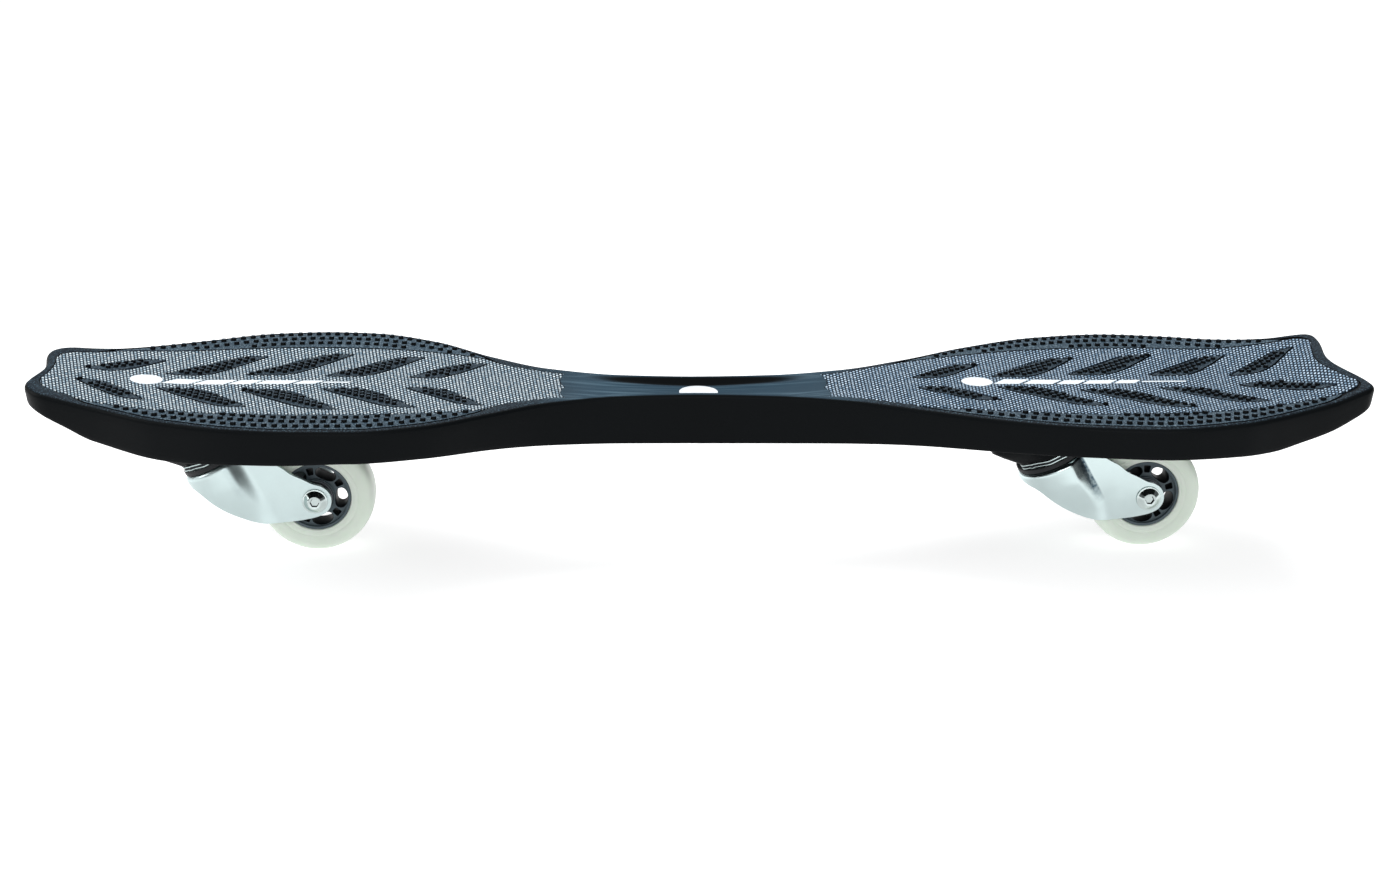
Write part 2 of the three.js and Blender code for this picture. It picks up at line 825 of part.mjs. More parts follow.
function lowerRace() {
  return ballRace(raceCircle, ballRadius, ballCount, (crownHeight - forkSheet + cupTop) / 2, "z");
}

// The lower race's cup, with a rim that turns up round the balls.
function raceCup() {
  const bore = kingpinRadius + clearance;
  const lip = crownHeight - forkSheet - clearance - ballRadius / 2;
  const inner = cupRadius - cupThickness / 2;
  return turned(
    [
      [bore, cupBottom],
      [cupRadius, cupBottom],
      [cupRadius, lip],
      [inner, lip],
      [inner, cupTop],
      [bore, cupTop],
      [bore, cupBottom],
    ],
    16,
  );
}

function dustSeal() {
  return ring(sealRadius - sealWall, sealRadius, crownHeight + clearance, plateHeight - clearance, 24);
}

// Stations along the axle, outwards from the wheel's middle.
const bearingOut = hubWidth / 2;
const bearingIn = bearingOut - bearingWidth;
const legInner = forkHalfWidth - forkSheet;

function axleBolt() {
  const seat = forkHalfWidth + clearance;
  const end = seat + axleNutHeight + axleEnd;
  const head = domeShares.map(([out, up]) => [out * axleHeadRadius, -seat - up * axleHeadHeight]);
  const dome = [...head, [axleRadius, -seat], [axleRadius, end], [0, end]];
  const depth = axleSocketShare * axleHeadHeight;
  const face = -seat - axleHeadHeight;
  const socket = hexPrism(axleSocket, face - overrun, face + depth, "y");
  return solid(turned(dome, 20, "y")).subtract(solid(socket));
}

function axleNut() {
  const seat = forkHalfWidth + clearance;
  const hole = disc(axleRadius + clearance, seat - overrun, seat + axleNutHeight + overrun, 12, "y");
  return solid(hexPrism(axleNutFlats, seat, seat + axleNutHeight, "y")).subtract(solid(hole));
}

function axleWasher(side) {
  const faces = [side * (bearingOut + clearance), side * (legInner - clearance)].sort((a, b) => a - b);
  const outer = axleRadius + 2 * raceWall;
  return ring(axleRadius + clearance, outer, faces[0], faces[1], smallSegments, "y");
}

function bearingSpacer() {
  const half = bearingIn - clearance;
  return ring(axleRadius + clearance, axleRadius + clearance + raceWall, -half, half, smallSegments, "y");
}

function between(side, from, to) {
  return side > 0 ? [from, to] : [-to, -from];
}

function innerRing(side) {
  const [from, to] = between(side, bearingIn, bearingOut);
  const bore = bearingBore / 2 + clearance;
  return ring(bore, bore + raceWall, from, to, smallSegments, "y");
}

// The outer ring with a shield folded over the balls on each face.
function outerRing(side) {
  const [from, to] = between(side, bearingIn, bearingOut);
  const lip = bearingBore / 2 + raceWall + 3 * clearance;
  const wall = bearingOuter - raceWall;
  return turned(
    [
      [bearingOuter, from],
      [bearingOuter, to],
      [lip, to],
      [lip, to - shieldThickness],
      [wall, to - shieldThickness],
      [wall, from + shieldThickness],
      [lip, from + shieldThickness],
      [lip, from],
      [bearingOuter, from],
    ],
    ringSegments,
    "y",
  );
}

function wheelBalls(side) {
  const circle = (bearingBore / 2 + raceWall + clearance + bearingOuter - raceWall) / 2;
  return ballRace(circle, wheelBallRadius, wheelBallCount, (side * (bearingIn + bearingOut)) / 2, "y");
}

function tyre() {
  const inner = hubRadius + clearance;
  const shoulder = wheelWidth / 2 - treadWidth / 2;
  const half = shoulderShares.map(([down, out]) => {
    return [wheelRadius - down * shoulder, treadWidth / 2 + out * shoulder];
  });
  half.push([inner, hubWidth / 2]);
  const other = half.map(([r, h]) => [r, -h]).reverse();
  return turned([...other, ...half, other[0]], tyreSegments, "y");
}

function hub() {
  const seat = bearingOuter + clearance;
  const stop = bearingIn - clearance;
  const rimInner = hubRadius - hubRim;
  const web = hubWeb / 2;
  const half = [
    [hubRadius, hubWidth / 2],
    [rimInner, hubWidth / 2],
    [rimInner, web],
    [hubBoss, web],
    [hubBoss, hubWidth / 2],
    [seat, hubWidth / 2],
    [seat, stop],
    [seat - raceWall, stop],
  ];
  const other = half.map(([r, h]) => [r, -h]).reverse();
  let body = solid(turned([...other, ...half, other[0]], hubSegments, "y"));
  const middle = (hubBoss + rimInner) / 2;
  for (let i = 0; i < windowCount; i++) {
    const angle = (2 * Math.PI * i) / windowCount;
    const oval = new THREE.Shape().absellipse(middle, 0, windowRadial, windowTangential, 0, 2 * Math.PI);
    const window = sideways(oval, hubWeb, 5).rotateY(angle);
    const slotHalf = slotWidth / 2;
    const ends = [middle - slotLength / 2, middle + slotLength / 2];
    const slot = boxAt(ends[0], ends[1], -hubWeb, hubWeb, -slotHalf, slotHalf);
    slot.rotateY(angle + Math.PI / windowCount);
    body = body.subtract(solid(window)).subtract(solid(slot));
  }
  return body;
}

// One caster: the pieces along the tilted swivel axis, and the wheel and its axle.
function caster(prefix, half) {
  const swivel = new THREE.Group();
  swivel.applyMatrix4(casterMatrix(half));
  swivel.add(piece(prefix + "_caster_plate", plate(), materials.zinc));
  for (const [place, x, y] of screwPlaces) {
    const one = piece(prefix + "_plate_screw_" + place, screw(), materials.steel);
    one.position.set(x, y, 0);
    swivel.add(one);
  }
  const onAxis = [
    ["_kingpin", kingpin(), materials.steel],
    ["_kingpin_nut", kingpinNut(), materials.steel],
    ["_upper_ball_race", upperRace(), materials.steel],
    ["_lower_ball_race", lowerRace(), materials.steel],
    ["_lower_race_cup", raceCup(), materials.zinc],
    ["_dust_seal", dustSeal(), materials.seal],
  ];
  for (const [name, shape, material] of onAxis) {
    const one = piece(prefix + name, shape, material);
    one.position.x = axisX;
    swivel.add(one);
  }
  swivel.add(piece(prefix + "_fork", fork(), materials.zinc));

  const wheel = new THREE.Group();
  wheel.position.set(half.axleX, 0, wheelRadius);
  wheel.add(piece(prefix + "_axle_bolt", axleBolt(), materials.steel));
  wheel.add(piece(prefix + "_axle_nut", axleNut(), materials.steel));
  wheel.add(piece(prefix + "_bearing_spacer", bearingSpacer(), materials.steel));
  wheel.add(piece(prefix + "_tyre", tyre(), materials.tyre));
  wheel.add(piece(prefix + "_hub", hub(), materials.hub));
  for (const [hand, side] of [["left", 1], ["right", -1]]) {
    wheel.add(piece(prefix + "_axle_washer_" + hand, axleWasher(side), materials.steel));
    wheel.add(piece(prefix + "_bearing_inner_ring_" + hand, innerRing(side), materials.steel));
    wheel.add(piece(prefix + "_bearing_outer_ring_" + hand, outerRing(side), materials.steel));
    wheel.add(piece(prefix + "_bearing_balls_" + hand, wheelBalls(side), materials.steel));
  }
  return [swivel, wheel];
}

const board = new THREE.Group();
board.position.x = (noseLength - tailLength) / 2;
board.add(piece("front_deck", frontDeck(), materials.deck));
board.add(piece("rear_deck", deckHalf(halves.rear), materials.deck));
board.add(piece("front_film", film(halves.front), materials.film));
board.add(piece("rear_film", film(halves.rear), materials.film));
board.add(piece("waist_badge", badge(), materials.badge));
board.add(...caster("front", halves.front));
board.add(...caster("rear", halves.rear));

const casterBoard = new THREE.Group();
casterBoard.add(board);
export default casterBoard;
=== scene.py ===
import math

import bmesh
import bpy
import numpy as np
from mathutils import Matrix
from mathutils.geometry import delaunay_2d_cdt


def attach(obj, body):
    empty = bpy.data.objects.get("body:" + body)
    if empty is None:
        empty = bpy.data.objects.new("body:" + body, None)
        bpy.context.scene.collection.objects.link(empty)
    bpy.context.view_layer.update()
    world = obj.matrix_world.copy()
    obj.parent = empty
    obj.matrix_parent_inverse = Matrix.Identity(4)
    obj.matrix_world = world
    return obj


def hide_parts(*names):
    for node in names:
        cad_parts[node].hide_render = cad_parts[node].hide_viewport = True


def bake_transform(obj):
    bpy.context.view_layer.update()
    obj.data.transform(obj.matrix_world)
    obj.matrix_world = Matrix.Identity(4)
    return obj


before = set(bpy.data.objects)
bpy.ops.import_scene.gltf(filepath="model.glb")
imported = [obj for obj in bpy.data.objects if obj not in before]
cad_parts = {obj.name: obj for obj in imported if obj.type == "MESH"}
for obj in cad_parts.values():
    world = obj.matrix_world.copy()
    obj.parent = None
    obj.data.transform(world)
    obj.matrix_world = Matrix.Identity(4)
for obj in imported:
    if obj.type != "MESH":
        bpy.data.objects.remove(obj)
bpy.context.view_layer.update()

# Deck: one moulded board of black polymer, two foot platforms joined by a narrow waist that twists.
# A skin with walls all round, open below, and a shallow recess in each platform's top for its inlays.
# The frame parts the moulding in two rigid halves; here it is one piece.
mm = 0.001
middle_x = -2.1
# Sizes are in millimetres, places along the board from the waist's middle and heights from the floor.
nose_length = 426.5
tail_length = 430.7
nose_half_width = 114.15
tail_half_width = 111
waist_top = 111.5
waist_depth = 33.8
waist_dish = 5.6
nose_rise = 12.5
tail_rise = 18
nose_notch = 4.5
nose_notch_half = 34
tail_notch = 8.5
tail_notch_half = 57
nose_corner = 24
tail_corner = 12
edge_radius = 3.4
waist_edge_radius = 3.2
wall_draft = 1
lip_radius = 1.4
wall = 4.2
skin = 4
ceiling_inset = 6.8
recess_depth = 1
recess_edge = ((0.3, 0), (0.08, 0.08), (0, 0.3), (0, recess_depth))
recess_ease = (12, 2)
neck_half = 78
wall_row_shares = (0.3, 0.6, 0.9)
inner_foot = ((wall, 0), (wall + 0.5, 0.2), (wall + 0.8, 0.7))
ceiling_fillet = ((1.4, 2.4), (1.1, 1.1), (0.5, 0.3), (0, 0))
side_stations = 116
neck_stations = 61
chord_points = 43
top_spacing = 3.4
recess_spacing = 6

# Rows of [along, half width, rise, depth] from the waist to each tip, as shares of the deck's sizes.
nose_shares = np.array([
    [0, 0.191, 0, 1.013],
    [0.113, 0.217, 0, 0.984],
    [0.23, 0.348, 0.01, 0.879],
    [0.319, 0.574, 0.06, 0.74],
    [0.41, 0.843, 0.22, 0.657],
    [0.511, 0.987, 0.34, 0.636],
    [0.586, 1, 0.38, 0.663],
    [0.668, 0.965, 0.38, 0.69],
    [0.785, 0.805, 0.34, 0.763],
    [0.891, 0.595, 0.5, 0.689],
    [0.938, 0.52, 0.68, 0.544],
    [0.98, 0.468, 0.92, 0.414],
    [1, 0.448, 1.06, 0.37],
])
tail_shares = np.array([
    [0, 0.198, 0, 1.013],
    [0.111, 0.225, 0, 0.987],
    [0.228, 0.333, 0.01, 0.885],
    [0.332, 0.532, 0.04, 0.74],
    [0.441, 0.77, 0.12, 0.651],
    [0.557, 0.941, 0.21, 0.615],
    [0.669, 1, 0.26, 0.63],
    [0.778, 0.923, 0.31, 0.675],
    [0.831, 0.842, 0.36, 0.698],
    [0.882, 0.761, 0.47, 0.651],
    [0.929, 0.694, 0.63, 0.6],
    [0.971, 0.632, 0.88, 0.52],
    [1, 0.588, 1.04, 0.41],
])
# How far the middle of the top lies below its rims, as shares of the waist's dish.
nose_dish_shares = np.array([
    [0, 1], [0.12, 0.75], [0.28, 0.06], [0.42, 0.27], [0.58, 0.55], [0.72, 0.53], [0.82, 0.28],
    [0.92, 0.04], [1, 0],
])
tail_dish_shares = np.array([
    [0, 1], [0.12, 0.75], [0.26, 0.05], [0.34, -0.15], [0.46, 0.07], [0.58, 0.42], [0.71, 0.5],
    [0.83, 0.6], [0.92, 0.27], [1, 0],
])
dish_reach_share = 0.86
dish_start_shares = (0.1, 0.26)
waist_floor_share = 0.72
end_pull_share = 0.9


def smooth(rows, column, at):
    """A cubic through one column of a table: every tangent is the harmonic mean of the slopes on both
    sides, level where they differ in sign and at the first row."""
    x, y = rows[:, 0], rows[:, column]
    slope = np.diff(y) / np.diff(x)
    product = slope[:-1] * slope[1:]
    total = slope[:-1] + slope[1:]
    inner = np.where(product > 0, 2 * product / np.where(total == 0, 1, total), 0)
    tangent = np.concatenate([[0], inner, slope[-1:]])
    i = np.clip(np.searchsorted(x, at) - 1, 0, len(x) - 2)
    span = x[i + 1] - x[i]
    t = (at - x[i]) / span
    rise = 3 * t**2 - 2 * t**3
    lead = t**3 - 2 * t**2 + t
    trail = t**3 - t**2
    return y[i] * (1 - rise) + y[i + 1] * rise + span * (tangent[i] * lead + tangent[i + 1] * trail)


def ease(value, low, high):
    """0 below low, 1 above high and 3 t^2 - 2 t^3 between them."""
    t = np.clip((value - low) / (high - low), 0, 1)
    return t * t * (3 - 2 * t)


def along(x, column):
    """A column of the deck's tables at places x, measured from the waist, nose side negative."""
    nose = smooth(nose_shares, column, np.clip(-x / nose_length, 0, 1))
    tail = smooth(tail_shares, column, np.clip(x / tail_length, 0, 1))
    return np.where(x < 0, nose, tail)


def half_width(x):
    """Half the width of the deck's outline."""
    return along(x, 1) * np.where(x < 0, nose_half_width, tail_half_width)


def outline_slope(x):
    """Growth of the outline's half width along the board, over a step of one millimetre."""
    return half_width(x + 0.5) - half_width(x - 0.5)


def rim(x):
    """Height of the deck's rims."""
    return waist_top + along(x, 2) * np.where(x < 0, nose_rise, tail_rise)


def wall_foot(x):
    """Height of the lower edge of the deck's walls."""
    return rim(x) - along(x, 3) * waist_depth


def top(x, y):
    """Height of the deck's top: the rim less a dish, which is a flat channel with rolled sides in the
    waist and a parabola, 1 - u^2 of its half width, on the platforms."""
    reach = dish_reach_share * half_width(x)
    u = np.minimum(np.abs(y) / reach, 1)
    nose = smooth(nose_dish_shares, 1, np.clip(-x / nose_length, 0, 1))
    tail = smooth(tail_dish_shares, 1, np.clip(x / tail_length, 0, 1))
    share = np.where(x < 0, -x / nose_length, x / tail_length)
    channel = 1 - ease(u, waist_floor_share, 1)
    mix = ease(share, *dish_start_shares)
    return rim(x) - waist_dish * np.where(x < 0, nose, tail) * (channel * (1 - mix) + (1 - u**2) * mix)


def bend(x, y):
    """Places moved for the notch in each end: drawn in by a raised cosine across the end, fading out
    over the last tenth of the length."""
    nose_pull = ease(-x / nose_length, end_pull_share, 1) * nose_notch
    tail_pull = ease(x / tail_length, end_pull_share, 1) * tail_notch
    nose_reach = np.minimum(1, np.abs(y) / nose_notch_half)
    tail_reach = np.minimum(1, np.abs(y) / tail_notch_half)
    moved = x + nose_pull * (0.5 + 0.5 * np.cos(np.pi * nose_reach))
    return moved - tail_pull * (0.5 + 0.5 * np.cos(np.pi * tail_reach))


def on_deck(plan, height):
    """Plan points and heights as points of the board, with the notches bent in."""
    x, y = plan[..., 0], plan[..., 1]
    return np.stack([bend(x, y), y, height + 0 * x], axis=-1)


def corner(length, side, radius):
    """An end's rounded corner: an arc tangent to the side and to the straight end. Returns where it
    leaves the side, its centre and its normals."""
    start = side * (length - radius)
    slope = outline_slope(start).item()
    normal = np.array([-slope, 1]) / math.hypot(slope, 1)
    tangent_x = start + radius * normal[0]
    centre = np.array([tangent_x, half_width(np.array(tangent_x)).item()]) - radius * normal
    first = math.atan2(normal[1], normal[0])
    angle = np.linspace(first, 0 if side > 0 else math.pi, 9)[1:]
    return tangent_x, centre, np.stack([np.cos(angle), np.sin(angle)], axis=-1)


nose_start, nose_centre, nose_arc = corner(nose_length, -1, nose_corner)
tail_start, tail_centre, tail_arc = corner(tail_length, 1, tail_corner)
side_x = np.concatenate([
    np.linspace(nose_start, -neck_half, side_stations),
    np.linspace(-neck_half, neck_half, neck_stations)[1:-1],
    np.linspace(neck_half, tail_start, side_stations),
])
side_normal = np.stack([-outline_slope(side_x), 1 + 0 * side_x], axis=-1)
side_normal /= np.linalg.norm(side_normal, axis=1, keepdims=True)
side_place = np.concatenate([
    (nose_centre + nose_corner * nose_arc)[::-1],
    np.stack([side_x, half_width(side_x)], axis=-1),
    tail_centre + tail_corner * tail_arc,
])
side_normal = np.concatenate([nose_arc[::-1], side_normal, tail_arc])
crown_inset = waist_edge_radius + (edge_radius - waist_edge_radius) * ease(
    np.abs(side_place[:, 0]), neck_half - 18, neck_half + 102)
across = np.sin(np.linspace(-np.pi / 2, np.pi / 2, chord_points))


def chord_grid(inset):
    """Plan grid of the deck drawn in by inset: straight chords from side to side at every station."""
    side = side_place - side_normal * np.reshape(inset, (-1, 1))
    x = np.repeat(side[:, :1], len(across), axis=1)
    return np.stack([x, side[:, 1:] * across], axis=-1)


def rim_of(grid):
    """The closed border of a grid, once round: a side, the tail's end, the other side, the nose's end."""
    return np.concatenate([grid[:, -1], grid[-1, -2::-1], grid[-2::-1, 0], grid[0, 1:-1]])


def grid_faces(rows, columns, wrap=False):
    """Quads between the neighbouring points of a grid, whose last column meets its first if wrap."""
    i, j = np.meshgrid(np.arange(rows - 1), np.arange(columns if wrap else columns - 1), indexing="ij")
    k = (j + 1) % columns
    low, high = i * columns, (i + 1) * columns
    return np.stack([low + j, low + k, high + k, high + j], axis=-1).reshape(-1, 4)


def band(rings):
    """Points and quads of closed rings joined one to the next."""
    rings = np.asarray(rings)
    return rings.reshape(-1, 3), grid_faces(len(rings), rings.shape[1], wrap=True)


def inside(points, loops):
    """Whether plan points lie inside an outline and outside its holes: a ray crosses the loops an odd
    number of times."""
    odd = np.zeros(len(points), bool)
    for loop in loops:
        a, b = loop, np.roll(loop, -1, axis=0)
        py = points[:, 1:2]
        crosses = (a[:, 1] > py) != (b[:, 1] > py)
        rise = np.where(b[:, 1] == a[:, 1], 1, b[:, 1] - a[:, 1])
        at = a[:, 0] + (py - a[:, 1]) * (b[:, 0] - a[:, 0]) / rise
        odd ^= (np.sum(crosses & (points[:, :1] < at), axis=1) % 2).astype(bool)
    return odd


def fill(loops, spacing):
    """Plan points and triangles that fill an outline less its holes: a Delaunay mesh of the loops and of
    a staggered grid of points between them."""
    row_share = 0.87
    clear_share = 0.55
    edge = np.concatenate(loops)
    low, high = edge.min(axis=0), edge.max(axis=0)
    x, y = np.meshgrid(np.arange(low[0], high[0], spacing), np.arange(low[1], high[1], spacing * row_share))
    x = x + spacing / 2 * (np.arange(len(x)) % 2)[:, None]
    seeds = np.stack([x.ravel(), y.ravel()], axis=-1)
    seeds = seeds[inside(seeds, loops)]
    gap = np.full(len(seeds), np.inf)
    for part in np.array_split(edge, max(1, len(edge) // 200)):
        far = np.linalg.norm(seeds[:, None] - part[None], axis=2).min(axis=1)
        gap = np.minimum(gap, far)
    points = np.concatenate([edge, seeds[gap > spacing * clear_share]])
    sizes = [len(loop) for loop in loops]
    starts = np.cumsum([0] + sizes[:-1])
    edges = [(int(s + k), int(s + (k + 1) % n)) for s, n in zip(starts, sizes) for k in range(n)]
    made = delaunay_2d_cdt([tuple(p) for p in points], edges, [], 0, 1e-6)
    flat = np.array([tuple(v) for v in made[0]])
    faces = np.array(made[2])
    keep = inside(flat[faces].mean(axis=1), loops)
    return flat, faces[keep]


def node(material, kind, links=(), **settings):
    """A new shader node. Each link is an input with its value, or with the output that feeds it."""
    made = material.node_tree.nodes.new("ShaderNode" + kind)
    for name, value in settings.items():
        setattr(made, name, value)
    for socket, value in links:
        if isinstance(value, bpy.types.NodeSocket):
            material.node_tree.links.new(value, made.inputs[socket])
        else:
            made.inputs[socket].default_value = value
    return made


def calc(material, operation, first, second=0.0, third=0.0):
    """The output of a Math node."""
    links = [(0, first), (1, second), (2, third)]
    return node(material, "Math", links, operation=operation).outputs[0]


def blend_colour(material, share, low, high):
    """The output of a colour mix, low at share 0 and high at share 1."""
    made = node(material, "Mix", data_type="RGBA")
    for socket, value in ((0, share), (6, low), (7, high)):
        if isinstance(value, bpy.types.NodeSocket):
            material.node_tree.links.new(value, made.inputs[socket])
        else:
            made.inputs[socket].default_value = value
    return made.outputs[2]


def ranged(material, value, low, high, first=0.0, last=1.0, smooth=False):
    """The output of a Map Range: first at low, last at high, with a straight or a smooth run between."""
    links = [(0, value), (1, low), (2, high), (3, first), (4, last)]
    run = "SMOOTHSTEP" if smooth else "LINEAR"
    return node(material, "MapRange", links, interpolation_type=run).outputs[0]


def finish_of(name, **settings):
    """A new material and its principled shader, with constants set on the shader's own sockets."""
    material = bpy.data.materials.new(name)
    material.use_nodes = True
    shader = material.node_tree.nodes["Principled BSDF"]
    for socket, value in settings.items():
        shader.inputs[socket.replace("_", " ")].default_value = value
    return material, shader


def feed(material, shader, socket, output):
    """Links an output to a socket of the shader."""
    material.node_tree.links.new(output, shader.inputs[socket])


def noise_at(material, coordinates, scale, detail=2.0, stretch=(1, 1, 1)):
    """The output of a noise of that many features a metre, drawn out along the axes by stretch."""
    mapped = node(material, "Mapping", [("Vector", coordinates), ("Scale", stretch)])
    links = [("Vector", mapped.outputs[0]), ("Scale", scale), ("Detail", detail)]
    return node(material, "TexNoise", links).outputs["Fac"]


def bump(material, shader, height, distance, strength=1.0):
    """A bump of that distance in metres on the shader's normal."""
    links = [("Height", height), ("Distance", distance), ("Strength", strength)]
    feed(material, shader, "Normal", node(material, "Bump", links).outputs[0])


def polymer(name, wall_colour, rim_sheen_colour, neck_sheen_colour, streak_highlight_colour, grain):
    """Moulded near-black polymer: dark on walls, and on faces turned up a lighter painted sheen that stands
    in for reflected light, weaker on the platforms than along the waist, with fine flow lines along the waist
    painted as pale streaks of reflected light, pale specks of painted highlight on the platforms, a cloudy
    variation and a spark-eroded grain."""
    material, shader = finish_of(name, Specular_IOR_Level=0.05)
    place = node(material, "TexCoord").outputs["Object"]
    up = node(material, "SeparateXYZ", [(0, node(material, "NewGeometry").outputs["Normal"])]).outputs[2]
    # Painted sheen: faces turned up take the lighter top colours as reflected light, walls keep the dark
    # colour.
    painted_sheen_share = ranged(material, up, 0.72, 0.97, smooth=True)
    lengthwise = calc(material, "ABSOLUTE", node(material, "SeparateXYZ", [(0, place)]).outputs[0])
    away = ranged(material, lengthwise, 0.075, 0.12, smooth=True)
    # Painted highlights: the flow lines and the specks mix in the pale streak colour.
    lines = ranged(material, noise_at(material, place, 210, 3, (0.045, 1, 0.3)), 0.5, 0.74, 0, 0.6)
    specks = ranged(material, noise_at(material, place, 900, 2), 0.5, 0.72, 0, 0.5)
    neck = blend_colour(material, lines, neck_sheen_colour, streak_highlight_colour)
    platform = blend_colour(material, specks, rim_sheen_colour, streak_highlight_colour)
    painted_sheen_tops = blend_colour(material, away, neck, platform)
    colour = blend_colour(material, painted_sheen_share, wall_colour, painted_sheen_tops)
    cloud = noise_at(material, place, 14, 3)
    shade = calc(material, "MULTIPLY_ADD", cloud, 0.5, 0.75)
    feed(material, shader, "Base Color", node(
        material, "VectorMath", [(0, colour), ("Scale", shade)], operation="SCALE").outputs[0])
    feed(material, shader, "Roughness", calc(material, "MULTIPLY_ADD", cloud, 0.16, 0.36))
    bump(material, shader, noise_at(material, place, grain, 2), 0.00012, 0.5)
    return material


def surface_object(name, parts, materials, sharp=40):
    """One mesh object from parts of points in millimetres, faces and, at need, a material's index: the
    points are moved to the board's place in metres, doubles are merged and faces are turned out."""
    points, faces, coats, start = [], [], [], 0
    for part in parts:
        points.append(np.asarray(part[0], float).reshape(-1, 3))
        faces.extend((np.asarray(part[1]) + start).tolist())
        coats.extend([part[2] if len(part) > 2 else 0] * len(part[1]))
        start += len(points[-1])
    points = (np.concatenate(points) + (middle_x, 0, 0)) * mm
    mesh = bpy.data.meshes.new(name)
    mesh.from_pydata(points.tolist(), [], faces)
    mesh.polygons.foreach_set("material_index", coats)
    shell = bmesh.new()
    shell.from_mesh(mesh)
    bmesh.ops.remove_doubles(shell, verts=shell.verts, dist=mm / 1000)
    bmesh.ops.dissolve_degenerate(shell, edges=shell.edges, dist=mm / 10000)
    bmesh.ops.recalc_face_normals(shell, faces=shell.faces)
    shell.to_mesh(mesh)
    shell.free()
    mesh.polygons.foreach_set("use_smooth", np.ones(len(mesh.polygons), bool))
    mesh.set_sharp_from_angle(angle=math.radians(sharp))
    made = bpy.data.objects.new(name, mesh)
    bpy.context.scene.collection.objects.link(made)
    for material in materials:
        mesh.materials.append(material)
    return made


# Inlay outlines: the film covers most of each platform, and a strip of studs lies along each side.
# Borders are given as half outlines, as shares of each half deck's length and half width.
nose_film_shares = np.array([
    [0.206, 0.235], [0.26, 0.305], [0.305, 0.4], [0.333, 0.5], [0.4, 0.585], [0.5, 0.645], [0.6, 0.66],
    [0.7, 0.635], [0.8, 0.575], [0.9, 0.487], [0.93, 0.42],
])
nose_end_shares = np.array([[0.93, 0.42], [0.966, 0.35], [0.9815, 0.24], [0.984, 0.12], [0.9855, 0]])
tail_film_shares = np.array([
    [0.193, 0.225], [0.235, 0.27], [0.28, 0.35], [0.34, 0.463], [0.42, 0.555], [0.52, 0.64], [0.62, 0.68],
    [0.72, 0.67], [0.82, 0.61], [0.9, 0.575], [0.95, 0.555],
])
tail_end_shares = np.array([[0.95, 0.555], [0.968, 0.53], [0.982, 0.46], [0.98, 0.28], [0.976, 0]])
film_gap = 0.4
strip_gap = 1.9
strip_groove = 1.9
strip_margin = 5.4
strip_taper = 16
nose_strip = (-141, -388)
tail_strip = (144, 408)
border_points = 120
end_points = 30
inner_points = 21
inner_hollow = 3
halves = {
    "front": dict(side=-1, length=nose_length, half=nose_half_width, film=nose_film_shares, strip=nose_strip,
                  end=nose_end_shares),
    "rear": dict(side=1, length=tail_length, half=tail_half_width, film=tail_film_shares, strip=tail_strip,
                 end=tail_end_shares),
}


def film_border(part, x):
    """Half width of the film at places x: a cubic through its table."""
    return smooth(part["film"], 1, np.abs(x) / part["length"]) * part["half"]


def strip_border(part, x, margin=0.0):
    """Outer border of the stud strip at places x, moved out by margin: inside the deck's edge, closing on
    the film's border at both tips along a quarter of an ellipse, sqrt(1 - (1 - t)^2)."""
    first, last = part["strip"]
    near = np.clip((np.abs(x) - abs(first) + margin) / strip_taper, 0, 1)
    far = np.clip((abs(last) - np.abs(x) + margin) / strip_taper, 0, 1)
    open_share = np.sqrt(1 - (1 - near) ** 2) * np.sqrt(1 - (1 - far) ** 2)
    edge = half_width(x) - strip_margin * np.sqrt(1 + outline_slope(x)**2)
    inner = film_border(part, x) + strip_groove
    return inner + np.maximum(edge - inner, 0) * open_share + margin


def resampled(points, shares):
    """Points along a polyline at shares of its length, through a cubic with chord-weighted tangents."""
    points = np.asarray(points, float)
    run = np.concatenate([[0], np.cumsum(np.linalg.norm(np.diff(points, axis=0), axis=1))])
    at = np.asarray(shares) * run[-1]
    i = np.clip(np.searchsorted(run, at, side="right") - 1, 0, len(points) - 2)
    chord = (run[i + 1] - run[i])[:, None]
    t = (at - run[i])[:, None] / chord
    padded = np.concatenate([2 * points[:1] - points[1:2], points, 2 * points[-1:] - points[-2:-1]])
    p0, p1, p2, p3 = (padded[i + k] for k in range(4))
    before = np.maximum(np.linalg.norm(p1 - p0, axis=1, keepdims=True), 1e-6)
    after = np.maximum(np.linalg.norm(p3 - p2, axis=1, keepdims=True), 1e-6)
    m1 = chord * ((p1 - p0) / before + (p2 - p1) / chord) / 2
    m2 = chord * ((p2 - p1) / chord + (p3 - p2) / after) / 2
    bases = (2 * t**3 - 3 * t**2 + 1, t**3 - 2 * t**2 + t, 3 * t**2 - 2 * t**3, t**3 - t**2)
    return bases[0] * p1 + bases[1] * m1 + bases[2] * p2 + bases[3] * m2


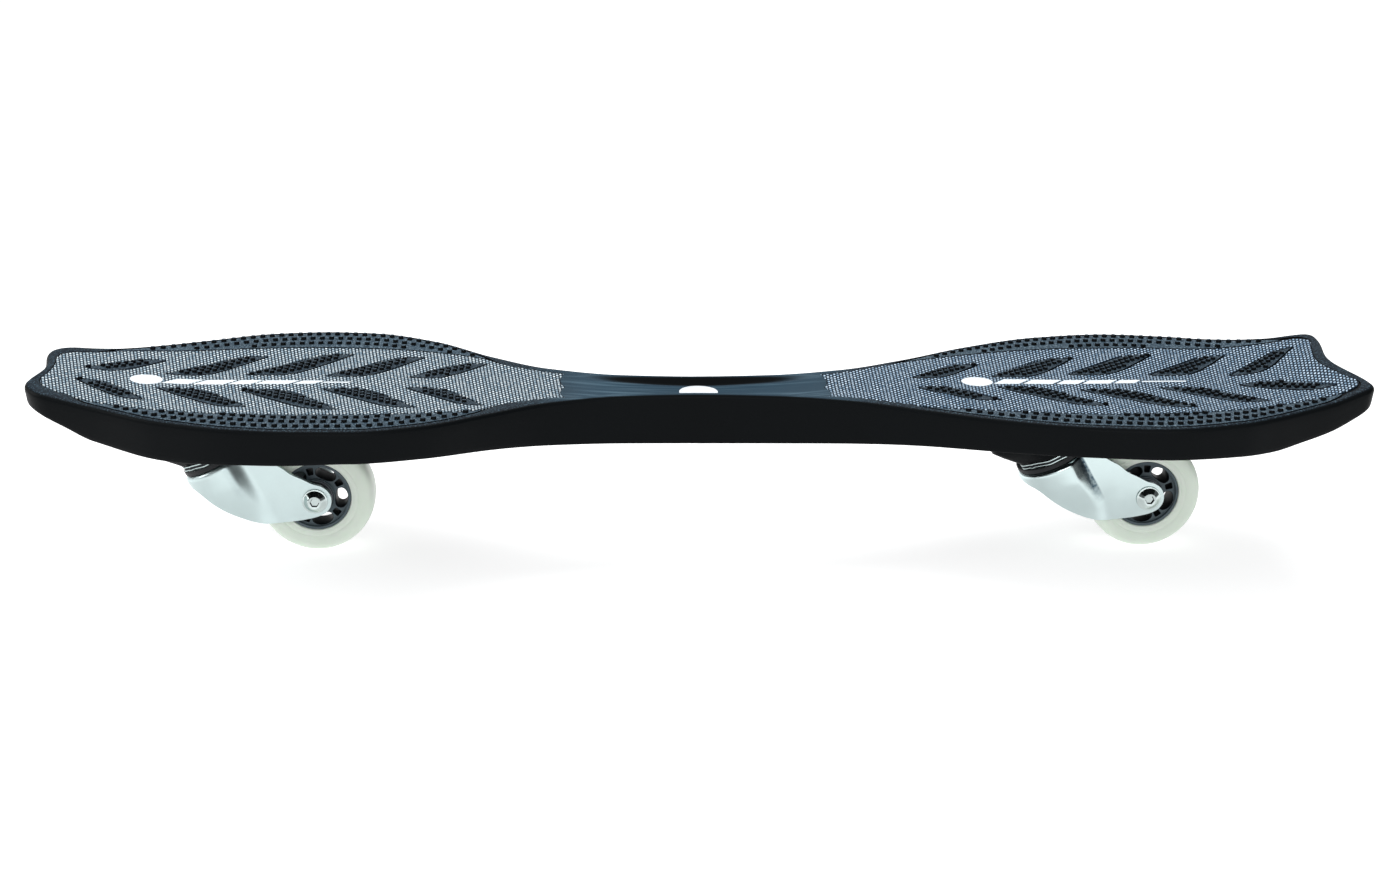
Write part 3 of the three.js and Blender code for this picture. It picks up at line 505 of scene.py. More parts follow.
def inlay_loop(part, border, margin):
    """A closed plan loop: a side border, the film's end moved out by margin along its normal, and the
    inner end, which has two hollows, |sin|^0.8 across the waist, and a point between them."""
    first = part["film"][0, 0] * part["length"]
    last = part["film"][-1, 0] * part["length"]
    x = part["side"] * np.linspace(first, last, border_points)
    side = np.stack([x, border(x)], axis=-1)
    end = resampled(part["end"], np.linspace(0, 1, end_points))
    end = end * (part["side"] * part["length"], part["half"])
    run = np.gradient(end, axis=0)
    run /= np.linalg.norm(run, axis=1, keepdims=True)
    end = end + margin * part["side"] * np.stack([-run[:, 1], run[:, 0]], axis=-1)
    lead = side[-1] - end[0]
    end = end + lead * np.linspace(1, 0, end_points)[:, None] ** 2
    half = np.concatenate([side, end[1:]])
    y = side[0, 1] * np.linspace(1, -1, inner_points)[1:-1]
    wave = np.abs(np.sin(np.pi * y / side[0, 1])) ** 0.8
    inner = np.stack([side[0, 0] + part["side"] * inner_hollow * wave, y], axis=-1)
    return np.concatenate([half, (half * (1, -1))[-2::-1], inner[::-1]])


def grow(loop, margin):
    """A closed outline moved out by margin along the normals of its corners."""
    run = np.roll(loop, -1, axis=0) - np.roll(loop, 1, axis=0)
    run /= np.linalg.norm(run, axis=1, keepdims=True)
    area = np.sum(loop[:, 0] * np.roll(loop[:, 1], -1) - loop[:, 1] * np.roll(loop[:, 0], -1))
    out = np.stack([run[:, 1], -run[:, 0]], axis=-1) * math.copysign(1, area)
    return loop + margin * out


def recess_loop(part):
    """The outer border of a platform's recess: round the film and both strips, with their gap."""
    def border(x):
        first, last = np.abs(part["strip"])
        far, near = recess_ease
        opening = ease(np.abs(x), first - far, first - near) * (1 - ease(np.abs(x), last + near, last + far))
        film = film_border(part, x) + film_gap
        return film * (1 - opening) + strip_border(part, x, strip_gap) * opening
    return inlay_loop(part, border, film_gap)


deck_parts = []
crown = chord_grid(crown_inset)
crown_ring = rim_of(crown)
crown_height = top(crown_ring[:, 0], crown_ring[:, 1])
ring_inset = rim_of(np.repeat(crown_inset[:, None], len(across), axis=1)[..., None])[:, 0]
outer_ring = rim_of(chord_grid(0))
outward = outer_ring - crown_ring
outward /= np.linalg.norm(outward, axis=1, keepdims=True)
foot = wall_foot(outer_ring[:, 0])
rings = []
for angle in np.radians(np.linspace(0, 90, 8)):
    plan = outer_ring - outward * (ring_inset * (1 - math.sin(angle)))[:, None]
    rings.append(on_deck(plan, crown_height - ring_inset * (1 - math.cos(angle))))
for share in wall_row_shares:
    height = (crown_height - ring_inset) * (1 - share) + (foot + lip_radius) * share
    rings.append(on_deck(outer_ring - outward * wall_draft * share, height))
for angle in np.radians((30, 60, 90)):
    inset = wall_draft + lip_radius * (1 - math.cos(angle))
    rings.append(on_deck(outer_ring - outward * inset, foot + lip_radius * (1 - math.sin(angle))))
ceiling = chord_grid(ceiling_inset)
ceiling_ring = rim_of(ceiling)
roof = top(ceiling_ring[:, 0], ceiling_ring[:, 1]) - skin
for inset, lift in inner_foot:
    rings.append(on_deck(outer_ring - outward * inset, foot + lift))
for back, drop in ceiling_fillet:
    rings.append(on_deck(outer_ring - outward * (ceiling_inset - back), roof - drop))
rings[-1] = on_deck(ceiling_ring, roof)
deck_parts.append(band(rings))
ceiling_height = top(ceiling[..., 0], ceiling[..., 1]) - skin
deck_parts.append((on_deck(ceiling, ceiling_height), grid_faces(*ceiling.shape[:2])[:, ::-1]))

in_neck = np.flatnonzero(np.abs(side_place[:, 0]) <= neck_half + 1e-6)
neck = crown[in_neck[0]:in_neck[-1] + 1]
deck_parts.append((on_deck(neck, top(neck[..., 0], neck[..., 1])), grid_faces(*neck.shape[:2])))
for part in halves.values():
    rows = crown[:in_neck[0] + 1] if part["side"] < 0 else crown[in_neck[-1]:][::-1]
    outline = np.concatenate([rows[::-1, -1], rows[0, -2:0:-1], rows[:, 0], rows[-1, 1:-1]])
    recess = recess_loop(part)
    flat, faces = fill([outline, grow(recess, recess_edge[0][0])], top_spacing)
    deck_parts.append((on_deck(flat, top(flat[:, 0], flat[:, 1])), faces))
    steps = [grow(recess, out) for out, _ in recess_edge]
    drops = [drop for _, drop in recess_edge]
    walls = [on_deck(loop, top(loop[:, 0], loop[:, 1]) - drop) for loop, drop in zip(steps, drops)]
    # The recess's walls and floor take the second material, a painted shade.
    deck_parts.append(band(walls) + (1,))
    flat, faces = fill([recess], recess_spacing)
    deck_parts.append((on_deck(flat, top(flat[:, 0], flat[:, 1]) - recess_depth), faces, 1))

rib_half = 1.5
rib_foot_share = 0.8
rib_setback = 5
rib_spacing = 78
rib_row = 40
rib_bond = 1.5
rib_stations = 220


def rib(points_at, low, high):
    """A flat bar under the skin, as a closed section carried along it: four rows of points, each at its
    distance from the bar's middle plane and at its height, with a face at either end."""
    foot_half = rib_half * rib_foot_share
    section = ((rib_half, high), (foot_half, low), (-foot_half, low), (-rib_half, high))
    rows = [on_deck(points_at(out), height) for out, height in section]
    count = len(rows[0])
    ends = [[0, 1, 2, 3], [4 * count - k for k in (1, 2, 3, 4)]]
    return np.stack(rows, axis=1), np.concatenate([grid_faces(count, 4, wrap=True), ends])


def lengthwise_rib(y):
    """Ribs along the board at a distance y from its middle, one wherever the deck is wide enough."""
    x = np.linspace(-nose_length + wall, tail_length - wall, rib_stations)
    step = x[1] - x[0]
    x = x[half_width(x) - wall > abs(y) + rib_half - rib_bond]
    return [rib(lambda out: np.stack([run, 0 * run + y + out], axis=-1), wall_foot(run) + rib_setback,
                top(run, 0 * run + y) - skin + rib_bond)
            for run in np.split(x, np.flatnonzero(np.diff(x) > 1.5 * step) + 1)]


def cross_rib(x):
    """A rib across the board at a place x, which follows the skin's dish."""
    reach = half_width(np.array(x)).item() - wall + rib_bond
    y = np.linspace(-reach, reach, 40)
    low = np.full(len(y), wall_foot(np.array(x)).item() + rib_setback)
    return rib(lambda out: np.stack([0 * y + x + out, y], axis=-1), low, top(0 * y + x, y) - skin + rib_bond)


for y in (-rib_row, 0, rib_row):
    deck_parts += lengthwise_rib(y)
for k in (*range(-5, 0), *range(1, 6)):
    deck_parts.append(cross_rib(k * rib_spacing))

# Caster bosses: a cored wedge under each platform, part of the moulding, with a pillar for each plate
# screw and a well for the kingpin's head. It tilts the caster's swivel axis towards the nose.
axle_x = {"front": -250.3, "rear": 301}
axle_z = 38
rake = math.radians(28)
axis_u = -43
plate_height = 55
plate_thickness = 3
clearance = 0.3
boss_foot = plate_height + plate_thickness + clearance
boss_outline = ((-24, 11.5), (-6.5, 25.6), (20.5, 25.6), (39, 11.5))
boss_wall = 4
boss_corner = 5
boss_round = 1.2
boss_lead = ((0, 0), (16.5, 13.5), (40, 9.7), (77, -5.4))
screw_places = {
    "front_left": (axis_u - 14, 12.6), "front_right": (axis_u - 14, -12.6),
    "rear_left": (axis_u + 29, 11), "rear_right": (axis_u + 29, -11),
}
pillar_radius = 6
pillar_bore = 2.8
pillar_round = 0.4
well_radius = 11.5
well_round = 0.5
upright = ((0, 0), (1, 0))


def tilted(points, end):
    """Points of a caster's own frame, along, across and up its swivel axis from the middle of the axle,
    in the board's frame: turned about Y by the rake and moved to the axle."""
    u, y, w = points[..., 0], points[..., 1], points[..., 2]
    x = axle_x[end] + u * math.cos(rake) - w * math.sin(rake)
    z = axle_z + u * math.sin(rake) + w * math.cos(rake)
    return np.stack([x, y, z], axis=-1)


def rounded(outline, radius, steps=5):
    """A closed outline with each corner replaced by a quadratic curve that starts and ends at radius from
    the corner along its two sides."""
    p = np.asarray(outline, float)

    def toward(q):
        run = q - p
        far = np.maximum(np.linalg.norm(run, axis=1, keepdims=True), 1e-9)
        return p + run * np.minimum(np.reshape(radius, (-1, 1)) / far, 0.49)

    a, b = toward(np.roll(p, 1, axis=0)), toward(np.roll(p, -1, axis=0))
    t = np.linspace(0, 1, steps)[None, :, None]
    return ((1 - t)**2 * a[:, None] + 2 * t * (1 - t) * p[:, None] + t**2 * b[:, None]).reshape(-1, 2)


def boss_shell(end, outer, inner, lead, tip_round):
    """A hollow upright moulding on a caster's axis: rings of its inner and outer outline rise from the
    foot to the middle of the skin, where a fixed point gives each ring's height. The lead is how far the
    front leans ahead at heights over the foot."""
    rear = outer[:, 0].max()
    front = outer[:, 0].min()
    heights, leads = zip(*lead)
    rise_shares = (1, 0.75, 0.5, 0.35, 0.25, 0.15)
    first_guess = 40.0
    tries = 12

    def ring(outline, share):
        w = np.full(len(outline), boss_foot + first_guess)
        for _ in range(tries):
            ahead = np.interp(w - boss_foot, heights, leads) * (rear - outline[:, 0]) / (rear - front)
            at = tilted(np.stack([outline[:, 0] - ahead, outline[:, 1], w], axis=-1), end)
            w = w + (top(at[:, 0], at[:, 1]) - skin / 2 - at[:, 2]) / math.cos(rake)
        w = boss_foot + (w - boss_foot) * share
        ahead = np.interp(w - boss_foot, heights, leads) * (rear - outline[:, 0]) / (rear - front)
        return tilted(np.stack([outline[:, 0] - ahead, outline[:, 1], w], axis=-1), end)

    def foot_ring(outline, lift):
        level = np.full(len(outline), boss_foot + lift)
        return tilted(np.stack([outline[:, 0], outline[:, 1], level], axis=-1), end)

    rings = [ring(outer, share) for share in rise_shares]
    rings += [foot_ring(outer, tip_round), foot_ring(grow(outer, -tip_round * 0.3), tip_round * 0.3)]
    rings += [foot_ring(grow(outer, -tip_round), 0), foot_ring(grow(inner, 0.3), 0), foot_ring(inner, 0.3)]
    rings += [ring(inner, share) for share in rise_shares[::-1]]
    rings.append(rings[0])
    return band(rings)


def circle(radius, count, centre=(0, 0)):
    """Plan points on a circle."""
    angle = 2 * np.pi * np.arange(count) / count
    return np.stack([np.cos(angle), np.sin(angle)], axis=-1) * radius + centre


for end in axle_x:
    half = [(axis_u + u, y) for u, y in boss_outline]
    outer = rounded([(u, -y) for u, y in half] + half[::-1], boss_corner, 8)
    deck_parts.append(boss_shell(end, outer, grow(outer, -boss_wall), boss_lead, boss_round))
    for place in screw_places.values():
        pillar, bore = (circle(radius, 24, place) for radius in (pillar_radius, pillar_bore))
        deck_parts.append(boss_shell(end, pillar, bore, upright, pillar_round))
    shaft, well = (circle(radius, 40, (axis_u, 0)) for radius in (well_radius + boss_wall, well_radius))
    deck_parts.append(boss_shell(end, shaft, well, upright, well_round))

# Painted sheen and highlights: the second to fourth colours are the lighter tops and pale streaks standing in
# for reflected light.
deck_polymer = polymer("deck_polymer", (0.002, 0.0028, 0.0034, 1), (0.0032, 0.0074, 0.013, 1),
                       (0.02, 0.046, 0.07, 1), (0.1, 0.17, 0.22, 1), 2600)
# Painted shade: a near-black copy of the deck's polymer for the recess's walls and floor, seen in the grooves
# round the inlays.
groove_painted_shade = polymer("groove_painted_shade", (0.001, 0.0015, 0.002, 1), (0.0015, 0.002, 0.003, 1),
                         (0.002, 0.003, 0.004, 1), (0.003, 0.004, 0.005, 1), 2600)
deck = surface_object("deck", deck_parts, [deck_polymer, groove_painted_shade])
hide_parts("front_deck", "rear_deck")
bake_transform(deck)

# Films: a printed woven-look sheet on each platform, silver threads over blue-black ones, let into the
# moulding up to its surface. Ten leaf-shaped windows on each leave room for studded pads.
film_depth = 0.9
film_round = 0.15
film_spacing = 4.2
leaf_gap = 1.7
leaf_points = 30
leaf_upper_shares = np.array([
    [0, 0], [0.13, 0.19], [0.275, 0.39], [0.41, 0.565], [0.55, 0.765], [0.69, 0.925], [0.825, 0.99], [1, 1],
])
leaf_lower_shares = np.array([
    [0, 0], [0.16, -0.012], [0.34, 0], [0.47, 0.09], [0.61, 0.28], [0.72, 0.49], [0.825, 0.68],
    [0.925, 0.87], [1, 1],
])
# Each leaf's inner and outer tip, as x, y, x, y on the left side.
leaf_tips = {
    "front": ((-399.6, 12.9, -352.3, 43.4), (-347, 16, -287, 55.8), (-294.4, 17.2, -230.3, 61.8),
              (-242.6, 14.6, -182.4, 55.8), (-189.2, 12, -140.2, 46.2)),
    "rear": ((143.5, 11.3, 191.9, 40.5), (196.9, 12.3, 259.8, 53.9), (251, 18, 316.4, 59.7),
             (304.7, 14.7, 365.3, 52.5), (358.4, 11, 410.7, 44.7)),
}


def leaf_loop(tips, mirror):
    """A leaf's closed outline between its inner and outer tip: an upper and a lower edge from tables,
    scaled to the tips and mirrored across the board."""
    share = (1 - np.cos(np.linspace(0, np.pi, leaf_points))) / 2
    upper = np.stack([share, np.interp(share, *leaf_upper_shares.T)], axis=-1)
    lower = np.stack([share, np.interp(share, *leaf_lower_shares.T)], axis=-1)
    loop = np.concatenate([upper, lower[-2:0:-1]])
    x = tips[0] + loop[:, 0] * (tips[2] - tips[0])
    y = tips[1] + loop[:, 1] * (tips[3] - tips[1])
    return np.stack([x, y * mirror], axis=-1)


def inlay(loops, spacing, depth, edge):
    """A sheet that follows the deck's top: its face, drawn in from its outlines by the edge's rounding,
    and a wall down to the recess's floor along every outline."""
    steps = ((edge, 0), (edge * 0.3, edge * 0.3), (0, edge), (0, depth))
    insides = [-1] + [1] * (len(loops) - 1)
    faces_at = [grow(loop, sign * edge) for loop, sign in zip(loops, insides)]
    flat, faces = fill(faces_at, spacing)
    parts = [(on_deck(flat, top(flat[:, 0], flat[:, 1])), faces)]
    for loop, sign in zip(loops, insides):
        rings = [(grow(loop, sign * inset), drop) for inset, drop in steps]
        parts.append(band([on_deck(ring, top(ring[:, 0], ring[:, 1]) - drop) for ring, drop in rings]))
    return parts


def woven_film():
    """Printed film: a weave of square cells, every second one a pale thread that swells in its middle,
    the others sunken threads. Its columns fan out a little across the board, x / (1 + rate y), and
    painted light falls off from the nose to the tail: the sunken threads and the whole print are lighter
    at the nose and darker and bluer towards the tail, as painted shade."""
    material, shader = finish_of("woven_film", Roughness=0.45, Specular_IOR_Level=0.06)
    pitch = 0.0022
    fan_rate = 0.6
    gap_colour = (0.004, 0.01, 0.018, 1)
    place = node(material, "TexCoord").outputs["Object"]
    axes = node(material, "SeparateXYZ", [(0, place)])
    fan = calc(material, "MULTIPLY_ADD", axes.outputs[1], fan_rate, 1)
    cells, parts = [], []
    for run in (calc(material, "DIVIDE", axes.outputs[0], fan), axes.outputs[1]):
        count = calc(material, "MULTIPLY", run, 1 / pitch)
        cells.append(calc(material, "FLOOR", count))
        offset = calc(material, "SUBTRACT", calc(material, "FRACT", count), 0.5)
        parts.append(calc(material, "ABSOLUTE", offset))
    odd = calc(material, "FLOORED_MODULO", calc(material, "ADD", *cells), 2)
    wide = ranged(material, parts[0], 0.4, 0.16, smooth=True)
    swell = calc(material, "MULTIPLY", wide, ranged(material, parts[1], 0.5, 0.3, smooth=True))
    uneven = ranged(material, noise_at(material, place, 430, 2), 0.38, 0.62)
    pale = blend_colour(material, uneven, (0.3, 0.4, 0.48, 1), (1, 1, 1, 1))
    thread = blend_colour(material, swell, gap_colour, pale)
    # Painted light: a share that grows from nose to tail darkens the film towards the tail.
    painted_shade_tailward = ranged(material, axes.outputs[0], -0.08, 0.13)
    sunken = blend_colour(material, painted_shade_tailward, (0.12, 0.16, 0.2, 1), (0.05, 0.07, 0.09, 1))
    under = blend_colour(material, wide, gap_colour, sunken)
    woven = blend_colour(material, odd, under, thread)
    painted_light_tint = blend_colour(material, painted_shade_tailward, (0.9, 0.98, 1, 1), (0.67, 0.84, 1, 1))
    feed(material, shader, "Base Color", node(
        material, "VectorMath", [(0, woven), (1, painted_light_tint)], operation="MULTIPLY").outputs[0])
    raised = calc(material, "MULTIPLY_ADD", odd, 0.7, 0.3)
    bump(material, shader, calc(material, "MULTIPLY", swell, raised), 0.00018, 0.6)
    return material


film_material = woven_film()
leaves = {}
for end, tips in leaf_tips.items():
    leaves[end] = [leaf_loop(tip, mirror) for tip in tips for mirror in (1, -1)]
for end, part in halves.items():
    loops = [inlay_loop(part, lambda x: film_border(part, x), 0)]
    loops += [grow(leaf, leaf_gap) for leaf in leaves[end]]
    made = inlay(loops, film_spacing, film_depth, film_round)
    sheet = surface_object(end + "_woven_film", made, [film_material])
    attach(sheet, end + "_deck")
    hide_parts(end + "_film")

# Stud strips and leaf pads: polymer inlays in the recess, grey on top from a painted sheen, level with
# the film and set apart from it by a narrow groove painted near black as shade. Each carries rows of
# small square studs that grip the rider's shoes.
strip_stud = (1.75, 1.25, 1.9)
leaf_stud = (1.55, 1.1, 1.7)
stud_pitch = 6.3
strip_rows = (4.4, 14.2, 24)
strip_least = 0.25
strip_clear = 8
strip_spacing = 4
leaf_room = 1.9
leaf_steps = ((4.3, 3.4), (0.3, 6.2))
leaf_spacing = 3.6
pad_round = 0.3


def studs(places, size):
    """Square studs with cut corners standing on the deck's top: a unit stud of three rings and a lid,
    moved to every place. The size gives half the foot, half the lid and the height."""
    foot_half, lid_half, height = size
    shoulder_share = 0.94
    corners = rounded([(-1, -1), (1, -1), (1, 1), (-1, 1)], 0.45, 2)
    count = len(corners)
    rings = ((foot_half, -0.3), (foot_half * shoulder_share, height - 0.55), (lid_half, height))
    one = np.concatenate([np.column_stack([corners * half, np.full(count, at)]) for half, at in rings])
    ground = on_deck(places, top(places[:, 0], places[:, 1]))
    points = ground[:, None] + one[None]
    walls = grid_faces(len(rings), count, wrap=True)
    offsets = len(one) * np.arange(len(places))
    sides = (walls[None] + offsets[:, None, None]).reshape(-1, 4)
    lids = np.arange(count * len(places)).reshape(-1, count)
    return [(points.reshape(-1, 3), sides), (points[:, -count:].reshape(-1, 3), lids)]


def strip_loop(part, side):
    """A strip's closed outline: its outer border and the film's border, from tip to tip."""
    first, last = part["strip"]
    share = (1 - np.cos(np.linspace(0, np.pi, border_points))) / 2
    x = first + share * (last - first)
    inner = film_border(part, x) + strip_groove
    outer = strip_border(part, x)
    wide = outer - inner > strip_least
    outer, inner, x = outer[wide], inner[wide], x[wide]
    loop = np.concatenate([np.stack([x, outer], axis=-1), np.stack([x, inner], axis=-1)[::-1]])
    return loop * (1, side)


def strip_studs(part, side):
    """Places of a strip's studs: rows at set distances inside its outer border, the outer row half a
    pitch ahead of the others."""
    first, last = part["strip"]
    x = np.arange(min(first, last) + strip_clear, max(first, last) - strip_clear, stud_pitch)
    rows = []
    for k, inset in enumerate(strip_rows):
        at = x + stud_pitch / 2 * (k == 0)
        y = strip_border(part, at) - inset
        held = y - strip_stud[0] > film_border(part, at) + strip_groove
        rows.append(np.stack([at[held], y[held] * side], axis=-1))
    return np.concatenate(rows)


def leaf_studs(loop, mirror):
    """Places of a leaf's studs: a lattice that runs with the leaf's slant, kept clear of its edge."""
    i, j = np.meshgrid(np.arange(-12, 13), np.arange(-6, 7))
    along_step, across_step = np.array(leaf_steps) * (1, mirror)
    offset = i.ravel()[:, None] * along_step + (j.ravel()[:, None] + 0.5) * across_step
    places = loop.mean(axis=0) + offset
    return places[inside(places, [grow(loop, -leaf_room)])]


# Painted sheen and highlights: the second to fourth colours are the lighter tops and pale specks standing in
# for reflected light; the studs' walls stay dark.
pad_polymer = polymer("pad_polymer", (0.0015, 0.0022, 0.003, 1), (0.026, 0.046, 0.066, 1),
                      (0.026, 0.046, 0.066, 1), (0.34, 0.46, 0.54, 1), 2200)
leaf_polymer = polymer("leaf_polymer", (0.001, 0.0016, 0.0022, 1), (0.013, 0.023, 0.034, 1),
                       (0.013, 0.023, 0.034, 1), (0.2, 0.28, 0.34, 1), 2200)
for end, part in halves.items():
    for side, hand in ((1, "left"), (-1, "right")):
        made = inlay([strip_loop(part, side)], strip_spacing, film_depth, pad_round)
        made += studs(strip_studs(part, side), strip_stud)
        strip = surface_object(f"{end}_stud_strip_{hand}", made, [pad_polymer])
        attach(strip, end + "_deck")
    for k, loop in enumerate(leaves[end]):
        mirror, hand = ((1, "left"), (-1, "right"))[k % 2]
        made = inlay([loop], leaf_spacing, film_depth, pad_round) + studs(leaf_studs(loop, mirror), leaf_stud)
        pad = surface_object(f"{end}_leaf_pad_{k // 2 + 1}_{hand}", made, [leaf_polymer])
        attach(pad, end + "_deck")

# Print: a plain dot and a row of slanted bars that get thinner towards the waist or the tail, printed in
# white ink along the middle of each film.
print_lift = 0.06
print_spacing = 3
print_dot = 10.3
print_half = 5.4
print_slant = 4.5
print_step_share = 0.08
print_tail_share = 0.22
print_bars = {
    "front": (-357.5, ((-343, -326), (-323.5, -304), (-301.5, -287), (-284.5, -263), (-260.5, -247),
                       (-244.5, -227))),
    "rear": (184.5, ((199, 216), (218.5, 238), (240.5, 255), (257.5, 276), (278.5, 292.5), (295.5, 325))),
}


def print_material():
    """White ink, worn a little by a fine grain."""
    material, shader = finish_of("white_ink", Roughness=0.5, Specular_IOR_Level=0.3)
    place = node(material, "TexCoord").outputs["Object"]
    worn = noise_at(material, place, 900, 3)
    colour = blend_colour(material, worn, (0.62, 0.68, 0.72, 1), (0.86, 0.9, 0.92, 1))
    feed(material, shader, "Base Color", colour)
    return material


ink = print_material()
for end, (centre, bars) in print_bars.items():
    loops = [circle(print_dot, 48, (centre, 0))]
    for k, (low, high) in enumerate(bars):
        half = print_half * (print_tail_share if k == len(bars) - 1 else 1 - print_step_share * k)
        slant = print_slant * half / print_half
        bar = [(low - slant, -half), (high - slant, -half), (high + slant, half), (low + slant, half)]
        loops.append(rounded(bar, 0.6, 3))
    made = []
    for loop in loops:
        flat, faces = fill([loop], print_spacing)
        made.append((on_deck(flat, top(flat[:, 0], flat[:, 1]) + print_lift), faces))
    mark = surface_object(end + "_print", made, [ink])
    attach(mark, end + "_deck")

# Waist badge: a plain white moulded disc bonded to the floor of the waist's channel, with a shallow ring
# near its edge.
badge_radius = 12.8
badge_foot = 105.2
badge_face = 106.9
badge_groove = badge_face - 0.35


def turned(profile, count=64, flats=np.inf):
    """A closed section of (radius, height) points turned once round its axis. Where flats is finite the
    radius is capped at half of it over the cosine of the angle to the nearest of six flats."""
    profile = np.asarray(profile, float)
    angle = 2 * np.pi * np.arange(count) / count
    off_flat = np.abs((angle + np.pi / 6) % (np.pi / 3) - np.pi / 6)
    cap = np.broadcast_to(flats, len(profile))[:, None] / 2 / np.cos(off_flat)
    radius = np.minimum(profile[:, :1], cap)
    height = np.repeat(profile[:, 1:2], count, axis=1)
    points = np.stack([radius * np.cos(angle), radius * np.sin(angle), height], axis=-1)
    points = np.concatenate([points, points[:1]])
    return points.reshape(-1, 3), grid_faces(len(points), count, wrap=True)


badge_section = rounded([(0, badge_foot), (badge_radius, badge_foot), (badge_radius, badge_face),
                         (11.2, badge_face), (10.9, badge_groove), (10.3, badge_groove), (10, badge_face),
                         (0, badge_face)], (0, 0, 0.5, 0.12, 0.12, 0.12, 0.12, 0), 4)
badge_white, badge_shader = finish_of("badge_white", Roughness=0.4, Specular_IOR_Level=0.4)
badge_place = node(badge_white, "TexCoord").outputs["Object"]
feed(badge_white, badge_shader, "Base Color", blend_colour(
    badge_white, noise_at(badge_white, badge_place, 160, 3), (0.72, 0.76, 0.79, 1), (0.84, 0.87, 0.9, 1)))
bump(badge_white, badge_shader, noise_at(badge_white, badge_place, 2600, 2), 0.0001, 0.3)
badge = surface_object("moulded_badge", [turned(badge_section, 96)], [badge_white])
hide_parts("waist_badge")
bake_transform(badge)

# Caster plates: flat zinc-plated steel with eight sides, screwed up into the bosses by four countersunk
# screws. Both edges are bright zinc and the middle of the cut between them, set in a little, is painted
# black as shade. The swivel's bolt passes through the middle.
plate_outline = [(-23, -11.6), (-6, -25), (20, -25), (38, -11.6), (38, 11.6), (20, 25), (-6, 25), (-23, 11.6)]
plate_corner = 2.5
plate_edge = 0.2
plate_spacing = 5
plate_reach = 28
# Each layer's foot and top over the plate's foot, how far its outline lies inside, and its coat: the middle
# layer's coat is the painted shade.
plate_layers = ((0, 0.7, 0, 0), (0.65, 2.35, 0.45, 1), (2.3, 3, 0, 0))
kingpin_hole = 5.3
screw_sink = 4.9


def plated(name, base, low_rough, high_rough):
    """Bright zinc plating on steel: a cloudy grey-blue metal with long faint rolling lines and an uneven
    gloss."""
    material, shader = finish_of(name, Metallic=1.0)
    place = node(material, "TexCoord").outputs["Object"]
    cloud = noise_at(material, place, 60, 4)
    dark_share = 0.8
    dark = tuple(channel * dark_share for channel in base[:3]) + (1,)
    feed(material, shader, "Base Color", blend_colour(material, cloud, dark, base))
    feed(material, shader, "Roughness", ranged(material, cloud, 0.3, 0.7, low_rough, high_rough))
    bump(material, shader, noise_at(material, place, 900, 2, (0.12, 1, 0.12)), 0.00006, 0.35)
    return material


def on_swivel(part, end):
    """A part in the frame of a caster's swivel axis, moved to the board."""
    points, faces = part
    return tilted(np.asarray(points) + (axis_u, 0, 0), end), faces


def pierced(loops, low, high, edge, spacing):
    """A flat plate between two heights with rounded edges: two pierced faces joined by walls."""
    parts = []
    insides = [-1] + [1] * (len(loops) - 1)
    for height in (low, high):
        flat, faces = fill([grow(loop, sign * edge) for loop, sign in zip(loops, insides)], spacing)
        parts.append((np.column_stack([flat, np.full(len(flat), height)]), faces))
    steps = ((edge, low), (edge * 0.3, low + edge * 0.3), (0, low + edge), (0, high - edge),
             (edge * 0.3, high - edge * 0.3), (edge, high))
    for loop, sign in zip(loops, insides):
        parts.append(band([np.column_stack([grow(loop, sign * inset), np.full(len(loop), height)])
                           for inset, height in steps]))
    return parts


zinc_colour = (0.6, 0.71, 0.71, 1)
zinc = plated("zinc_plate", zinc_colour, 0.12, 0.24)
# Black steel for the washers, and painted shade for the plates' set-in edge band and the bolts' socket walls.
black_steel_and_shade = plated("black_steel_and_painted_shade", (0.02, 0.023, 0.026, 1), 0.35, 0.5)
for end in axle_x:
    loops = [rounded(plate_outline, plate_corner, 6), circle(kingpin_hole, 32)]
    loops += [circle(screw_sink, 24, (u - axis_u, y)) for u, y in screw_places.values()]
    made = []
    for low, high, inset, coat in plate_layers:
        outline = loops[0] * (1 - inset / plate_reach)
        layer = pierced([outline] + loops[1:], plate_height + low, plate_height + high,
                        plate_edge, plate_spacing)
        made += [on_swivel(part, end) + (coat,) for part in layer]
    plate = surface_object(end + "_mounting_plate", made, [zinc, black_steel_and_shade])
    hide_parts(end + "_caster_plate")
    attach(plate, end + "_deck")

# Plate screws: bright steel, countersunk, with a hexagon socket. Four are driven up through each plate
# into the boss's pillars.
screw_head = 4.4
screw_head_height = 2.2
screw_shank = 2.5
screw_grip = 13
screw_socket = 3
screw_socket_depth = 1.4

steel = plated("bright_steel", (0.6, 0.68, 0.67, 1), 0.1, 0.22)
plate_top = plate_height + plate_thickness
for end in axle_x:
    for name, (u, y) in screw_places.items():
        face = plate_height + clearance
        depth = face + screw_socket_depth
        section = [(0, depth), (screw_socket, depth), (screw_socket, face), (screw_head, face),
                   (screw_head, face + 0.3), (screw_shank, face + 0.3 + screw_head_height),
                   (screw_shank, plate_top + screw_grip), (0, plate_top + screw_grip)]
        section = rounded(section, (0, 0, 0.1, 0.15, 0.15, 0.3, 0.8, 0), 3)
        in_socket = (section[:, 0] < screw_socket + 0.05) & (section[:, 1] < depth + 0.1)
        points, faces = turned(section, 48, np.where(in_socket, screw_socket, np.inf))
        moved = on_swivel((points + (u - axis_u, y, 0), faces), end)
        screw = surface_object(f"{end}_screw_{name}", [moved], [steel])
        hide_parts(f"{end}_plate_screw_{name}")
        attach(screw, end + "_deck")

